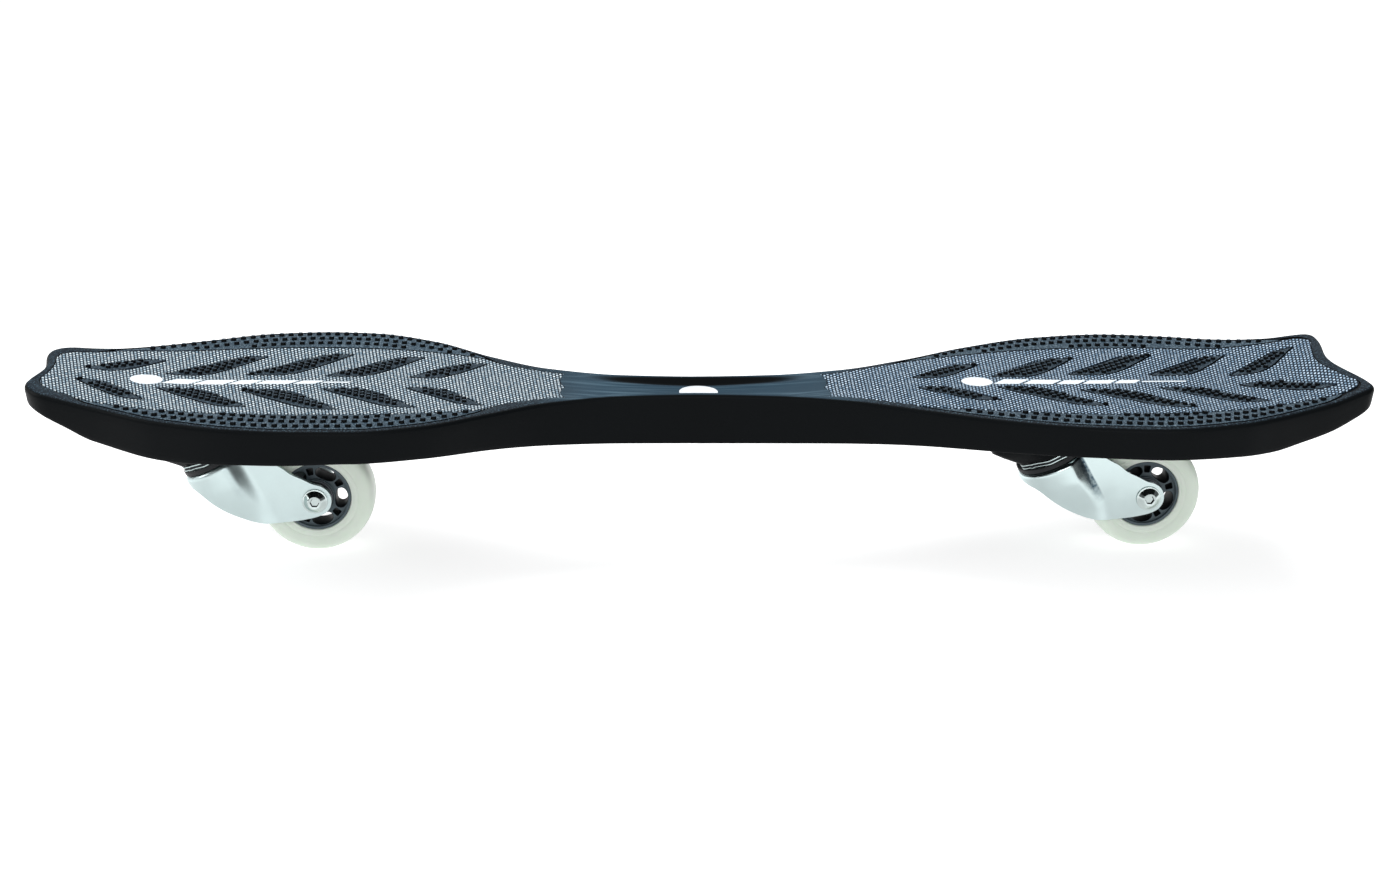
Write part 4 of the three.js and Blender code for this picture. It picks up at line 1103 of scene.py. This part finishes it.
# Kingpins: a forged hexagon bolt down the swivel axis, its head in the boss's well, and a lock nut that
# holds it under the fork. Both are bright steel.
kingpin_radius = 5
kingpin_flats = 17
crown_height = 51
fork_sheet = 3.5
ball_radius = 1.7
cup_top = crown_height - fork_sheet - 2 * (ball_radius + clearance)
cup_thickness = 2.4
nut_top = cup_top - cup_thickness - clearance
nut_bottom = nut_top - 8
head_from = plate_top + clearance
head_to = head_from + 6.4


def hexagon(low, high, flats, bore, chamfer):
    """Section and flats of a hexagon nut whose corners are turned off at both faces."""
    wide = flats / 2 / math.cos(math.pi / 6)
    slope = chamfer * 2
    section = [(bore, low + 0.5), (bore + 0.5, low), (wide - slope, low), (wide, low + chamfer),
               (wide, high - chamfer), (wide - slope, high), (bore + 0.5, high), (bore, high - 0.5)]
    return rounded(section, 0.12, 3), flats


for end in axle_x:
    bolt_section = rounded([(0, head_to), (0, nut_bottom - 2), (kingpin_radius, nut_bottom - 2),
                            (kingpin_radius, head_from + 1), (7.9, head_from + 0.2), (9.2, head_from),
                            (9.9, head_from + 0.8), (9.9, head_to - 1.2), (7.8, head_to)],
                           (0, 0, 0.8, 0.2, 0.2, 0.2, 0.2, 0.3, 0.3), 3)
    bolt_flats = np.where(bolt_section[:, 0] > kingpin_radius + 0.5, kingpin_flats, np.inf)
    nut_shape = hexagon(nut_bottom, nut_top, kingpin_flats, kingpin_hole, 0.9)
    for name, shape, replaced in (("kingpin_bolt", (bolt_section, bolt_flats), "_kingpin"),
                                  ("kingpin_lock_nut", nut_shape, "_kingpin_nut")):
        piece = surface_object(f"{end}_{name}", [on_swivel(turned(shape[0], 96, shape[1]), end)], [steel])
        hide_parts(end + replaced)
        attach(piece, end + "_deck")

# Swivel races: two rings of steel balls in pressed cages, one above the fork's crown and one below it,
# where a turned zinc-plated cup carries them on the nut.
race_circle = 11
race_balls = 8
cup_radius = 15
cup_bore = cup_radius - 1.2
cup_lip = crown_height - fork_sheet - clearance - ball_radius / 2
cage_half = 0.75


def balls(circle_radius, radius, count, height):
    """A ring of small spheres: one sphere of latitude rows copied round the axis."""
    rows, steps = 7, 10
    fall = np.pi * np.arange(rows) / (rows - 1)
    turn = 2 * np.pi * np.arange(steps) / steps
    one = np.stack([np.outer(np.sin(fall), np.cos(turn)), np.outer(np.sin(fall), np.sin(turn)),
                    np.outer(np.cos(fall), np.ones(steps))], axis=-1) * radius
    faces = grid_faces(rows, steps, wrap=True)
    return [(one + (x, y, height), faces) for x, y in circle(circle_radius, count)]


def ball_ring(circle_radius, radius, count, height, half):
    """A ring of balls and its flat cage."""
    near, far = circle_radius - half, circle_radius + half
    low, high = height - half, height + half
    cage = rounded([(near, low), (far, low), (far, high), (near, high)], 0.2, 3)
    return balls(circle_radius, radius, count, height) + [turned(cage, 48)]


for end in axle_x:
    levels = {"upper": (crown_height + plate_height) / 2, "lower": (crown_height - fork_sheet + cup_top) / 2}
    for name, level in levels.items():
        ring = ball_ring(race_circle, ball_radius, race_balls, level, cage_half)
        made = [on_swivel(part, end) for part in ring]
        race = surface_object(f"{end}_swivel_balls_{name}", made, [steel])
        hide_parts(f"{end}_{name}_ball_race")
        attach(race, end + "_fork")
    cup_foot = nut_top + clearance
    section = rounded([(kingpin_hole, cup_foot), (cup_radius, cup_foot), (cup_radius, cup_lip),
                       (cup_bore, cup_lip), (cup_bore, cup_top), (kingpin_hole, cup_top)],
                      (0.3, 0.9, 0.4, 0.4, 0.5, 0.3), 5)
    cup = surface_object(end + "_swivel_cup", [on_swivel(turned(section, 72), end)], [zinc])
    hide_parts(end + "_lower_race_cup")
    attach(cup, end + "_deck")

# Dust seals: a moulded ring of black rubber round each upper ball race, which closes the gap between
# the plate and the fork.
seal_radius = 25.5
seal_bore = seal_radius - 2


def rubber():
    """Black moulded rubber, matt, with a fine grain."""
    material, shader = finish_of("seal_rubber", Specular_IOR_Level=0.25)
    place = node(material, "TexCoord").outputs["Object"]
    cloud = noise_at(material, place, 220, 3)
    colour = blend_colour(material, cloud, (0.004, 0.005, 0.006, 1), (0.014, 0.016, 0.018, 1))
    feed(material, shader, "Base Color", colour)
    feed(material, shader, "Roughness", calc(material, "MULTIPLY_ADD", cloud, 0.2, 0.45))
    bump(material, shader, noise_at(material, place, 3200, 2), 0.0001, 0.4)
    return material


seal_material = rubber()
for end in axle_x:
    low, high = crown_height + clearance, plate_height - clearance
    section = [(seal_bore, low), (seal_radius, low), (seal_radius, high), (seal_bore, high)]
    made = [on_swivel(turned(rounded(section, 0.7, 5), 96), end)]
    seal = surface_object(end + "_seal_ring", made, [seal_material])
    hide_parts(end + "_dust_seal")
    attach(seal, end + "_fork")

# Forks: one pressing of zinc-plated sheet each, a round crown that draws in through an S-bend to two
# flat legs, which reach back and down to the eyes for the axle. A dark streak is painted down the fold
# between crown and leg as a reflection of dark surroundings, much stronger on the rear fork.
fork_radius = 27
fork_half = 19
fork_thick = 3.2
fork_fillet = 3.5
fork_bend = (-37.5, -26)
fork_rear = -21.5
fork_fade = (5, 38)
fork_fade_share = 0.25
eye_radius = 10.6
# The legs' upper and lower borders, along and up the swivel axis from the axle.
leg_top = np.array([
    (fork_rear, crown_height), (-19, 47.1), (-11.3, 35.1), (-8, 30.1), (-5, 23.5), (-0.1, 16.9), (4.5, 10.4),
    (7.2, 7.9), (8.9, 5.7), (10.2, 2.9), (eye_radius, 0),
])
leg_foot = np.array([
    (-70, 47.2), (-68.8, 45.3), (-63.7, 39.9), (-58.5, 30.5), (-53.1, 21.5), (-46.9, 13), (-41.6, 7),
    (-33.6, 0.7), (-21.7, -4.6), (-11.7, -8.2), (-2.1, -10.4), (3, -10.1), (5.9, -8.8), (8.2, -6.7),
    (10.1, -3.2), (eye_radius, 0),
])
crown_foot_share = 0.45
arc_points = 34
bend_points = 21
leg_points = 55
side_points = 30
rear_points = 17
spoke_points = 7


def fork_side(u, w):
    """Half width of the fork at u and w: a circle round the swivel axis, sqrt(r^2 - (u - a)^2), eased into
    the legs' half width, the part beyond the legs fading towards the axle."""
    circle_y = np.sqrt(np.maximum(fork_radius**2 - (u - axis_u)**2, 0))
    share = ease(u, *fork_bend)
    plan = np.where(u < fork_bend[0], circle_y, circle_y * (1 - share) + fork_half * share)
    fade = fork_fade_share + (1 - fork_fade_share) * ease(w, *fork_fade)
    return np.where(plan > fork_half, fork_half + (plan - fork_half) * fade, plan)


def fork_point(u, w):
    """A point of the fork's outer face: drawn in above the fillet's foot by r - sqrt(r^2 - h^2) along the
    plan normal."""
    y = fork_side(u, w)
    slope = (fork_side(u + 0.05, w) - fork_side(u - 0.05, w)) / 0.1
    slope = np.where(u < fork_bend[0], -(u - axis_u) / np.maximum(y, 0.4), slope)
    length = np.sqrt(1 + slope**2)
    lift = np.clip(w - (crown_height - fork_fillet), 0, fork_fillet)
    inset = fork_fillet - np.sqrt(fork_fillet**2 - lift**2)
    return np.stack([u + slope / length * inset, np.maximum(y - inset / length, 0), w], axis=-1)


def fork_parts():
    """The fork's outer face: each side spans the upper and lower border, and the crown is a ring of
    spokes from the kingpin's hole to that border and to its straight rear edge."""
    arc = np.linspace(np.pi, np.arccos((fork_bend[0] - axis_u) / fork_radius), arc_points)
    front = axis_u + fork_radius * np.cos(arc)
    crown_u = np.concatenate([front, np.linspace(fork_bend[0], fork_rear, bend_points + 1)[1:]])
    crown_count = len(crown_u)
    crown_border = np.stack([crown_u, np.full(crown_count, crown_height)], axis=-1)
    upper = np.concatenate([crown_border, resampled(leg_top, np.linspace(0, 1, leg_points + 1)[1:])])
    share = np.concatenate([np.linspace(0, crown_foot_share, crown_count),
                            np.linspace(crown_foot_share, 1, leg_points + 1)[1:]])
    lower = resampled(leg_foot, share)
    t = np.linspace(0, 1, side_points)[None, :, None] ** 1.7
    span = upper[:, None] * (1 - t) + lower[:, None] * t
    side = fork_point(span[..., 0], span[..., 1])
    faces = grid_faces(*side.shape[:2])
    mirrored = side * (1, -1, 1)
    border = side[:crown_count, 0]
    across_rear = np.outer(np.linspace(1, -1, rear_points), border[-1] * (0, 1, 0))
    rear = border[-1] * (1, 0, 1) + across_rear
    loop = np.concatenate([border, rear[1:-1], (border * (1, -1, 1))[::-1][:-1]])
    angle = np.arctan2(loop[:, 1], loop[:, 0] - axis_u)
    hole = np.stack([axis_u + kingpin_hole * np.cos(angle), kingpin_hole * np.sin(angle), loop[:, 2]],
                    axis=-1)
    s = np.linspace(0, 1, spoke_points)[:, None, None]
    spokes = (hole[None] * (1 - s) + loop[None] * s).reshape(-1, 3)
    crown_faces = grid_faces(spoke_points, len(loop), wrap=True)
    return [(side, faces), (mirrored, faces[:, ::-1]), (spokes, crown_faces)]


def sheet_object(name, parts, material, thickness, edge):
    """A pressed sheet: the outer face thickened inwards, its cut edges broken by a small bevel."""
    sharp = 50
    made = surface_object(name, parts, [material], sharp=sharp)
    shell = bmesh.new()
    shell.from_mesh(made.data)
    bmesh.ops.solidify(shell, geom=shell.faces[:], thickness=thickness * mm)
    bmesh.ops.recalc_face_normals(shell, faces=shell.faces)
    shell.to_mesh(made.data)
    shell.free()
    made.data.polygons.foreach_set("use_smooth", np.ones(len(made.data.polygons), bool))
    made.data.set_sharp_from_angle(angle=math.radians(sharp))
    bevel = made.modifiers.new("broken_edge", "BEVEL")
    bevel.width = edge * mm
    bevel.segments = 2
    bevel.limit_method = "ANGLE"
    bevel.angle_limit = math.radians(sharp)
    bevel.harden_normals = True
    return made


def zinc_with_painted_fold_reflection(name, start, stop, dark_share, low_rough, high_rough):
    """Zinc plating with a dark, mottled painted reflection streaked down the fold, between places given along
    and up the board in metres. With s the distance from the line through both, the streak is a slow smooth
    rise over s before the line times a quick smooth fall behind it, and it fades out at its lower end."""
    material = plated(name, zinc_colour, low_rough, high_rough)
    shader = material.node_tree.nodes["Principled BSDF"]
    plain = shader.inputs["Base Color"].links[0].from_socket
    place = node(material, "TexCoord").outputs["Object"]
    axes = node(material, "SeparateXYZ", [(0, place)])
    length = math.dist(start, stop)
    run = ((stop[0] - start[0]) / length, (stop[1] - start[1]) / length)
    x = calc(material, "SUBTRACT", axes.outputs[0], start[0])
    z = calc(material, "SUBTRACT", axes.outputs[2], start[1])
    forward = calc(material, "MULTIPLY_ADD", x, run[0], calc(material, "MULTIPLY", z, run[1]))
    aside = calc(material, "MULTIPLY_ADD", x, -run[1], calc(material, "MULTIPLY", z, run[0]))
    rise = ranged(material, aside, -0.006, -0.001, smooth=True)
    fall = ranged(material, aside, 0.001, 0.0025, 1, 0, smooth=True)
    close = ranged(material, forward, length * 0.7, length * 1.1, dark_share, 0)
    mottled = ranged(material, noise_at(material, place, 420, 3), 0.3, 0.6, 0.6, 1)
    streak = calc(material, "MULTIPLY", calc(material, "MULTIPLY", rise, fall),
                  calc(material, "MULTIPLY", close, mottled))
    # Painted reflection: the streak mixes the plating towards a dark blue.
    feed(material, shader, "Base Color", blend_colour(material, streak, plain, (0.02, 0.05, 0.075, 1)))
    return material


# The painted reflection streak's upper and lower end, its darkness and the plating's least and greatest
# roughness.
fork_fold_reflections = {
    "front": ((-0.3053, 0.062), (-0.297, 0.0431), 0.15, 0.34, 0.46),
    "rear": ((0.2512, 0.0657), (0.267, 0.0388), 0.97, 0.12, 0.24),
}
for end in axle_x:
    made = [(tilted(np.asarray(points), end), faces) for points, faces in fork_parts()]
    coat = zinc_with_painted_fold_reflection(end + "_fork_zinc", *fork_fold_reflections[end])
    fork = sheet_object(end + "_pressed_fork", made, coat, fork_thick, 0.5)
    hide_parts(end + "_fork")
    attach(fork, end + "_fork")

# Axles: a button-head bolt with a hexagon socket and a lock nut, both bright steel, and a turned black
# washer between each leg and the wheel's bearings. The socket's walls are painted black as shade.
axle_radius = 4
axle_bore = axle_radius + clearance
axle_seat = fork_half + clearance
axle_head = 8.2
axle_head_height = 4.2
axle_socket = 5.4
axle_socket_floor = axle_socket - 0.8
axle_socket_depth = 1.7
axle_end = axle_seat + 9.4
axle_nut_flats = 13
axle_nut_height = 8
washer_radius = 7
bearing_out = 10.8
bearing_in = 3.8
inner_ring_radius = 5.8
spacer_half = 3.5
bolt_turn = 96
bolt_steps = 6


def on_axle(part, end):
    """A part in the frame of a wheel's axle, its axis across the board, moved to the board."""
    points, faces = part
    return tilted(np.asarray(points)[..., [0, 2, 1]], end), faces


def collar(bore, radius, low, high, edge, steps):
    """A turned ring with rounded edges."""
    return turned(rounded([(bore, low), (radius, low), (radius, high), (bore, high)], edge, steps), 48)


face = -axle_seat - axle_head_height
depth = face + axle_socket_depth
bolt_section = rounded([(0, depth), (axle_socket_floor, depth), (axle_socket, depth),
                        (axle_socket, face + 0.2), (3.9, face), (4.6, face + 0.5), (6.9, face + 2.9),
                        (7.3, face + 3.3), (axle_head, face + 3.4), (axle_head, -axle_seat),
                        (axle_radius, -axle_seat), (axle_radius, axle_end), (0, axle_end)],
                       (0, 0, 0.1, 0.1, 0.3, 0.8, 0.5, 0.2, 0.3, 0.3, 0.2, 0.8, 0), bolt_steps)
bolt_flats = np.where(np.arange(len(bolt_section)) < 4 * bolt_steps, axle_socket, np.inf)
bolt_flats[bolt_steps:2 * bolt_steps] = axle_socket_floor
points, faces = turned(bolt_section, bolt_turn, bolt_flats)
row = faces // bolt_turn
# Painted shade: the socket's wall faces take the black steel.
in_socket = (row.min(axis=1) >= 2 * bolt_steps - 1) & (row.max(axis=1) < 4 * bolt_steps)
nut_section, nut_flats = hexagon(axle_seat, axle_seat + axle_nut_height, axle_nut_flats, axle_bore, 0.8)
for end in axle_x:
    made = [on_axle((points, faces[~in_socket]), end), on_axle((points, faces[in_socket]), end) + (1,)]
    bolt = surface_object(end + "_button_bolt", made, [steel, black_steel_and_shade])
    nut = surface_object(end + "_axle_lock_nut", [on_axle(turned(nut_section, 96, nut_flats), end)], [steel])
    pieces = [(bolt, end + "_axle_bolt"), (nut, end + "_axle_nut")]
    for hand, side in (("left", 1), ("right", -1)):
        low, high = sorted((side * (bearing_out + clearance), side * (fork_half - fork_sheet - clearance)))
        made = [on_axle(collar(axle_bore, washer_radius, low, high, 0.4, 4), end)]
        washer = surface_object(f"{end}_spacer_washer_{hand}", made, [black_steel_and_shade])
        pieces.append((washer, f"{end}_axle_washer_{hand}"))
    made = [on_axle(collar(axle_bore, inner_ring_radius, -spacer_half, spacer_half, 0.3, 3), end)]
    sleeve = surface_object(end + "_bearing_sleeve", made, [steel])
    pieces.append((sleeve, end + "_bearing_spacer"))
    for piece, replaced in pieces:
        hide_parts(replaced)
        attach(piece, end + "_fork")

# Bearings: two shielded ball bearings of steel in each wheel, their inner rings on the axle and their
# outer rings pressed into the hub from both sides.
bearing_radius = 11
shield_bore = 6.7
shield_seat = 9.5
shield_depth = 0.6
bearing_balls = 7
bearing_ball = 1.5
bearing_circle = 7.65
bearing_cage_half = 0.6
shield_steel = plated("bearing_shields", (0.09, 0.1, 0.11, 1), 0.3, 0.5)
for end in axle_x:
    for hand, side in (("left", 1), ("right", -1)):
        low, high = sorted((side * bearing_in, side * bearing_out))
        made = [on_axle(collar(axle_bore, inner_ring_radius, low, high, 0.3, 3), end)]
        inner = surface_object(f"{end}_bearing_inner_{hand}", made, [shield_steel])
        section = rounded([(bearing_radius, low), (bearing_radius, high), (shield_bore, high),
                           (shield_bore, high - shield_depth), (shield_seat, high - shield_depth),
                           (shield_seat, low + shield_depth), (shield_bore, low + shield_depth),
                           (shield_bore, low)], (0.4, 0.4, 0.15, 0.15, 0.3, 0.3, 0.15, 0.15), 4)
        made = [on_axle(turned(section, 64), end)]
        outer = surface_object(f"{end}_bearing_outer_{hand}", made, [shield_steel])
        ring = ball_ring(bearing_circle, bearing_ball, bearing_balls, (low + high) / 2, bearing_cage_half)
        made = [on_axle(part, end) for part in ring]
        ring_of_balls = surface_object(f"{end}_bearing_ball_ring_{hand}", made, [shield_steel])
        pieces = ((inner, "inner_ring", "_fork"), (outer, "outer_ring", "_wheel"),
                  (ring_of_balls, "balls", "_wheel"))
        for piece, replaced, body in pieces:
            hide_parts(f"{end}_bearing_{replaced}_{hand}")
            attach(piece, end + body)

# Hubs: dark moulded polymer, a rim and a bearing boss joined by a deep web with five lens-shaped windows
# and five small slots in the spokes between them. The walls of the windows and slots are painted near black
# as shade.
hub_radius = 22.6
hub_half = 10.8
hub_web = 8.4
hub_bore = 11.3
hub_lip = 9.8
web_inner = 11.95
web_outer = 20.8
window_middle = 16.4
window_half = 4
window_angle = math.radians(24)
slot_middle = 17
slot_half = (2.3, 1.9)
spokes = 5
web_edge = 0.25
web_spacing = 1.6
around_count = 120
window_points = 40
hub_turn = {"front": math.radians(-5), "rear": math.radians(-20)}


def polar(radius, angle):
    """Plan points from radii and angles."""
    return np.stack([radius * np.cos(angle), radius * np.sin(angle)], axis=-1)


def hub_polymer(name, dark, light, gloss):
    """Dark blue-grey moulded nylon with a cloudy shade and a fine grain."""
    material, shader = finish_of(name, Specular_IOR_Level=gloss)
    place = node(material, "TexCoord").outputs["Object"]
    cloud = noise_at(material, place, 130, 3)
    feed(material, shader, "Base Color", blend_colour(material, cloud, dark, light))
    feed(material, shader, "Roughness", calc(material, "MULTIPLY_ADD", cloud, 0.2, 0.3))
    bump(material, shader, noise_at(material, place, 2400, 2), 0.0001, 0.35)
    return material


def hub_parts(turn):
    """The hub about its axle: turned rim and boss, two pierced faces of the web and the walls of its
    windows and slots. A window is a lens whose radius runs as |cos|^0.8 and whose angle as sin."""
    lip = bearing_in - clearance
    rim_out = rounded([(web_outer, hub_web), (web_outer, hub_half), (hub_radius, hub_half),
                       (hub_radius, -hub_half), (web_outer, -hub_half), (web_outer, -hub_web)],
                      (0, 0.35, 0.3, 0.3, 0.35, 0), 4)
    boss_in = rounded([(web_inner, -hub_web), (web_inner, -hub_half), (hub_bore, -hub_half), (hub_bore, -lip),
                       (hub_lip, -lip), (hub_lip, lip), (hub_bore, lip), (hub_bore, hub_half),
                       (web_inner, hub_half), (web_inner, hub_web)],
                      (0, 0.2, 0.1, 0, 0.3, 0.3, 0, 0.1, 0.2, 0), 3)
    parts = []
    for section in (rim_out, boss_in):
        points, faces = turned(section, around_count)
        parts.append((points, faces[faces.max(axis=1) < around_count * len(section)]))
    loops = []
    around = 2 * np.pi * np.arange(window_points) / window_points
    lens = np.sign(np.cos(around)) * np.abs(np.cos(around)) ** 0.8 * window_half
    reach = window_angle * np.sin(around) * (1 - 0.02 * lens)
    a, b = slot_half
    box = rounded([(-a, -b), (a, -b), (a, b), (-a, b)], 0.7, 4) + (slot_middle, 0)
    for k in range(spokes):
        angle = turn + k * 2 * np.pi / spokes
        loops.append(polar(window_middle + lens, angle + reach))
        loops.append(polar(box[:, 0], angle + np.pi / spokes + box[:, 1] / slot_middle))
    edges = [circle(web_outer, around_count), circle(web_inner, around_count)]
    for side in (1, -1):
        flat, faces = fill(edges + [grow(loop, web_edge) for loop in loops], web_spacing)
        parts.append((np.column_stack([flat, np.full(len(flat), side * hub_web)]), faces))
    steps = ((web_edge, hub_web), (0.07, hub_web - 0.07), (0, hub_web - web_edge), (0, web_edge - hub_web),
             (0.07, 0.07 - hub_web), (web_edge, -hub_web))
    for loop in loops:
        rings = [np.column_stack([grow(loop, out), np.full(len(loop), height)]) for out, height in steps]
        parts.append(band(rings) + (1,))
    return parts


hub_nylon = hub_polymer("hub_nylon", (0.03, 0.044, 0.053, 1), (0.085, 0.115, 0.13, 1), 0.25)
# Painted shade: a near-black copy of the nylon for the walls of the windows and slots.
hub_painted_shade = hub_polymer("hub_window_painted_shade", (0.002, 0.003, 0.004, 1), (0.006, 0.009, 0.011, 1), 0.02)
for end in axle_x:
    made = []
    for part in hub_parts(hub_turn[end]):
        points = np.asarray(part[0])
        at = np.stack([axle_x[end] + points[..., 0], points[..., 2], axle_z + points[..., 1]], axis=-1)
        made.append((at,) + part[1:])
    hub = surface_object(end + "_wheel_hub", made, [hub_nylon, hub_painted_shade])
    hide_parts(end + "_hub")
    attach(hub, end + "_wheel")

# Tyres: cast cream polyurethane bonded round each hub, with two faint turned lines on each side. The
# tread is a quarter of a superellipse, cos^(2/p) and sin^(2/p), from its middle to the side wall.
tyre_radius = 38
tyre_half = 12
tyre_shoulder = 30
tyre_power = 3.2


def urethane():
    """Cast polyurethane, cream with a green cast, cloudy, and lit from within near its surface."""
    material, shader = finish_of("cast_urethane", Roughness=0.34, Specular_IOR_Level=0.4)
    shader.inputs["Subsurface Weight"].default_value = 0.5
    shader.inputs["Subsurface Radius"].default_value = (0.004, 0.005, 0.004)
    shader.inputs["Subsurface Scale"].default_value = 1.0
    place = node(material, "TexCoord").outputs["Object"]
    cloud = noise_at(material, place, 45, 3)
    colour = blend_colour(material, cloud, (0.6, 0.67, 0.59, 1), (0.7, 0.77, 0.69, 1))
    feed(material, shader, "Base Color", colour)
    bump(material, shader, noise_at(material, place, 700, 2), 0.00006, 0.4)
    return material


urethane_material = urethane()
swing = np.linspace(0, np.pi / 2, 26)
shoulder = np.stack([tyre_shoulder + (tyre_radius - tyre_shoulder) * np.cos(swing) ** (2 / tyre_power),
                     tyre_half * np.sin(swing) ** (2 / tyre_power)], axis=-1)
side_wall = np.array([(27.6, 11.95), (27.3, 11.75), (27, 11.9), (24.4, 11.7), (24.1, 11.5), (23.8, 11.6),
                      (23, 11.2), (22.8, 10.8)])
half_section = np.concatenate([shoulder, side_wall])
section = np.concatenate([half_section, (half_section * (1, -1))[::-1]])
for end in axle_x:
    points, faces = turned(section, 160)
    at = np.stack([axle_x[end] + points[:, 0], points[:, 2], axle_z + points[:, 1]], axis=-1)
    tyre = surface_object(end + "_wheel_tyre", [(at, faces)], [urethane_material], sharp=60)
    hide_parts(end + "_tyre")
    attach(tyre, end + "_wheel")

# Floor, light and camera: a pale floor that keeps the board's soft shadow, a large soft source overhead,
# softer ones from the front and the left, and a surround that is white to the camera and falls off to
# both sides in what the plating mirrors.
floor_half = 20
floor_mesh = bpy.data.meshes.new("studio_floor")
corners = [(x * floor_half, y * floor_half, 0) for x, y in ((-1, -1), (1, -1), (1, 1), (-1, 1))]
floor_mesh.from_pydata(corners, [], [(0, 1, 2, 3)])
floor = bpy.data.objects.new("studio_floor", floor_mesh)
bpy.context.scene.collection.objects.link(floor)
paper = bpy.data.materials.new("studio_paper")
paper.use_nodes = True
paper_nodes = paper.node_tree
paper_nodes.nodes.remove(paper_nodes.nodes["Principled BSDF"])
matt = node(paper, "BsdfDiffuse", [("Color", (0.62, 0.62, 0.62, 1))])
glow = node(paper, "Emission", [("Color", (1, 1, 1, 1)), ("Strength", 0.7)])
both = node(paper, "AddShader", [(0, matt.outputs[0]), (1, glow.outputs[0])])
clear = node(paper, "BsdfTransparent")
under = node(paper, "NewGeometry").outputs["Backfacing"]
seen = node(paper, "MixShader", [(0, under), (1, both.outputs[0]), (2, clear.outputs[0])])
paper_nodes.links.new(seen.outputs[0], paper_nodes.nodes["Material Output"].inputs["Surface"])
floor_mesh.materials.append(paper)

world = bpy.data.worlds.new("surround")
bpy.context.scene.world = world
world.use_nodes = True
air = world.node_tree
background = air.nodes["Background"]
rays = node(world, "LightPath")
shown = calc(world, "MAXIMUM", rays.outputs["Is Camera Ray"], rays.outputs["Is Transmission Ray"])
direction = node(world, "SeparateXYZ", [(0, node(world, "TexCoord").outputs["Generated"])])
sideways = calc(world, "ABSOLUTE", direction.outputs[0])
mirror = ranged(world, sideways, 0.45, 0.95, 1, 0.12, smooth=True)
behind = ranged(world, direction.outputs[1], -0.1, 0.5, 1, 0.5)
mirrored = rays.outputs["Is Glossy Ray"]
glossy = calc(world, "MULTIPLY", calc(world, "MULTIPLY", mirror, behind), mirrored)
matt_share = calc(world, "SUBTRACT", 1.0, mirrored)
diffuse = calc(world, "MULTIPLY_ADD", matt_share, 0.5, glossy)
strength = calc(world, "MAXIMUM", diffuse, shown)
air.links.new(strength, background.inputs["Strength"])
background.inputs["Color"].default_value = (0.97, 0.99, 1, 1)


def lamp(name, place, size, watts):
    """A soft rectangular lamp that faces the middle of the board."""
    data = bpy.data.lights.new(name, "AREA")
    data.shape = "RECTANGLE"
    data.size, data.size_y = size
    data.energy = watts
    made = bpy.data.objects.new(name, data)
    away = np.asarray(place, float) - (0, 0, 0.08)
    away /= np.linalg.norm(away)
    right = np.cross((0, 0, 1), away) if abs(away[2]) < 0.999 else np.array((1.0, 0, 0))
    right /= np.linalg.norm(right)
    up = np.cross(away, right)
    made.matrix_world = Matrix([(right[k], up[k], away[k], place[k]) for k in range(3)] + [(0, 0, 0, 1)])
    bpy.context.scene.collection.objects.link(made)


lamp("overhead_softbox", (-0.1, 0.7, 1.7), (2.2, 1.2), 34)
lamp("front_fill", (0.2, -2.6, 1.1), (2.4, 1.2), 22)
lamp("left_window", (-1.9, 0.1, 0.9), (0.9, 0.9), 14)

# The camera's own axes on the board and its place in metres, from a fit to pairs of mirrored points.
back = np.array((-0.06514, -0.94811, 0.31122))
right = np.array((0.99765, -0.06854, 0.0))
up = np.array((0.02133, 0.31049, 0.95034))
roll = math.radians(-1.12)
right, up = math.cos(roll) * right - math.sin(roll) * up, math.sin(roll) * right + math.cos(roll) * up
camera_data = bpy.data.cameras.new("camera")
camera_data.lens = 57.1
camera_data.sensor_width = 36
camera_data.clip_end = 60
camera = bpy.data.objects.new("camera", camera_data)
camera_place = (-0.0963, -1.3939, 0.5304)
camera.matrix_world = Matrix([(right[k], up[k], back[k], camera_place[k]) for k in range(3)] + [(0, 0, 0, 1)])
bpy.context.scene.collection.objects.link(camera)
bpy.context.scene.camera = camera
bpy.context.scene.view_settings.view_transform = "Standard"
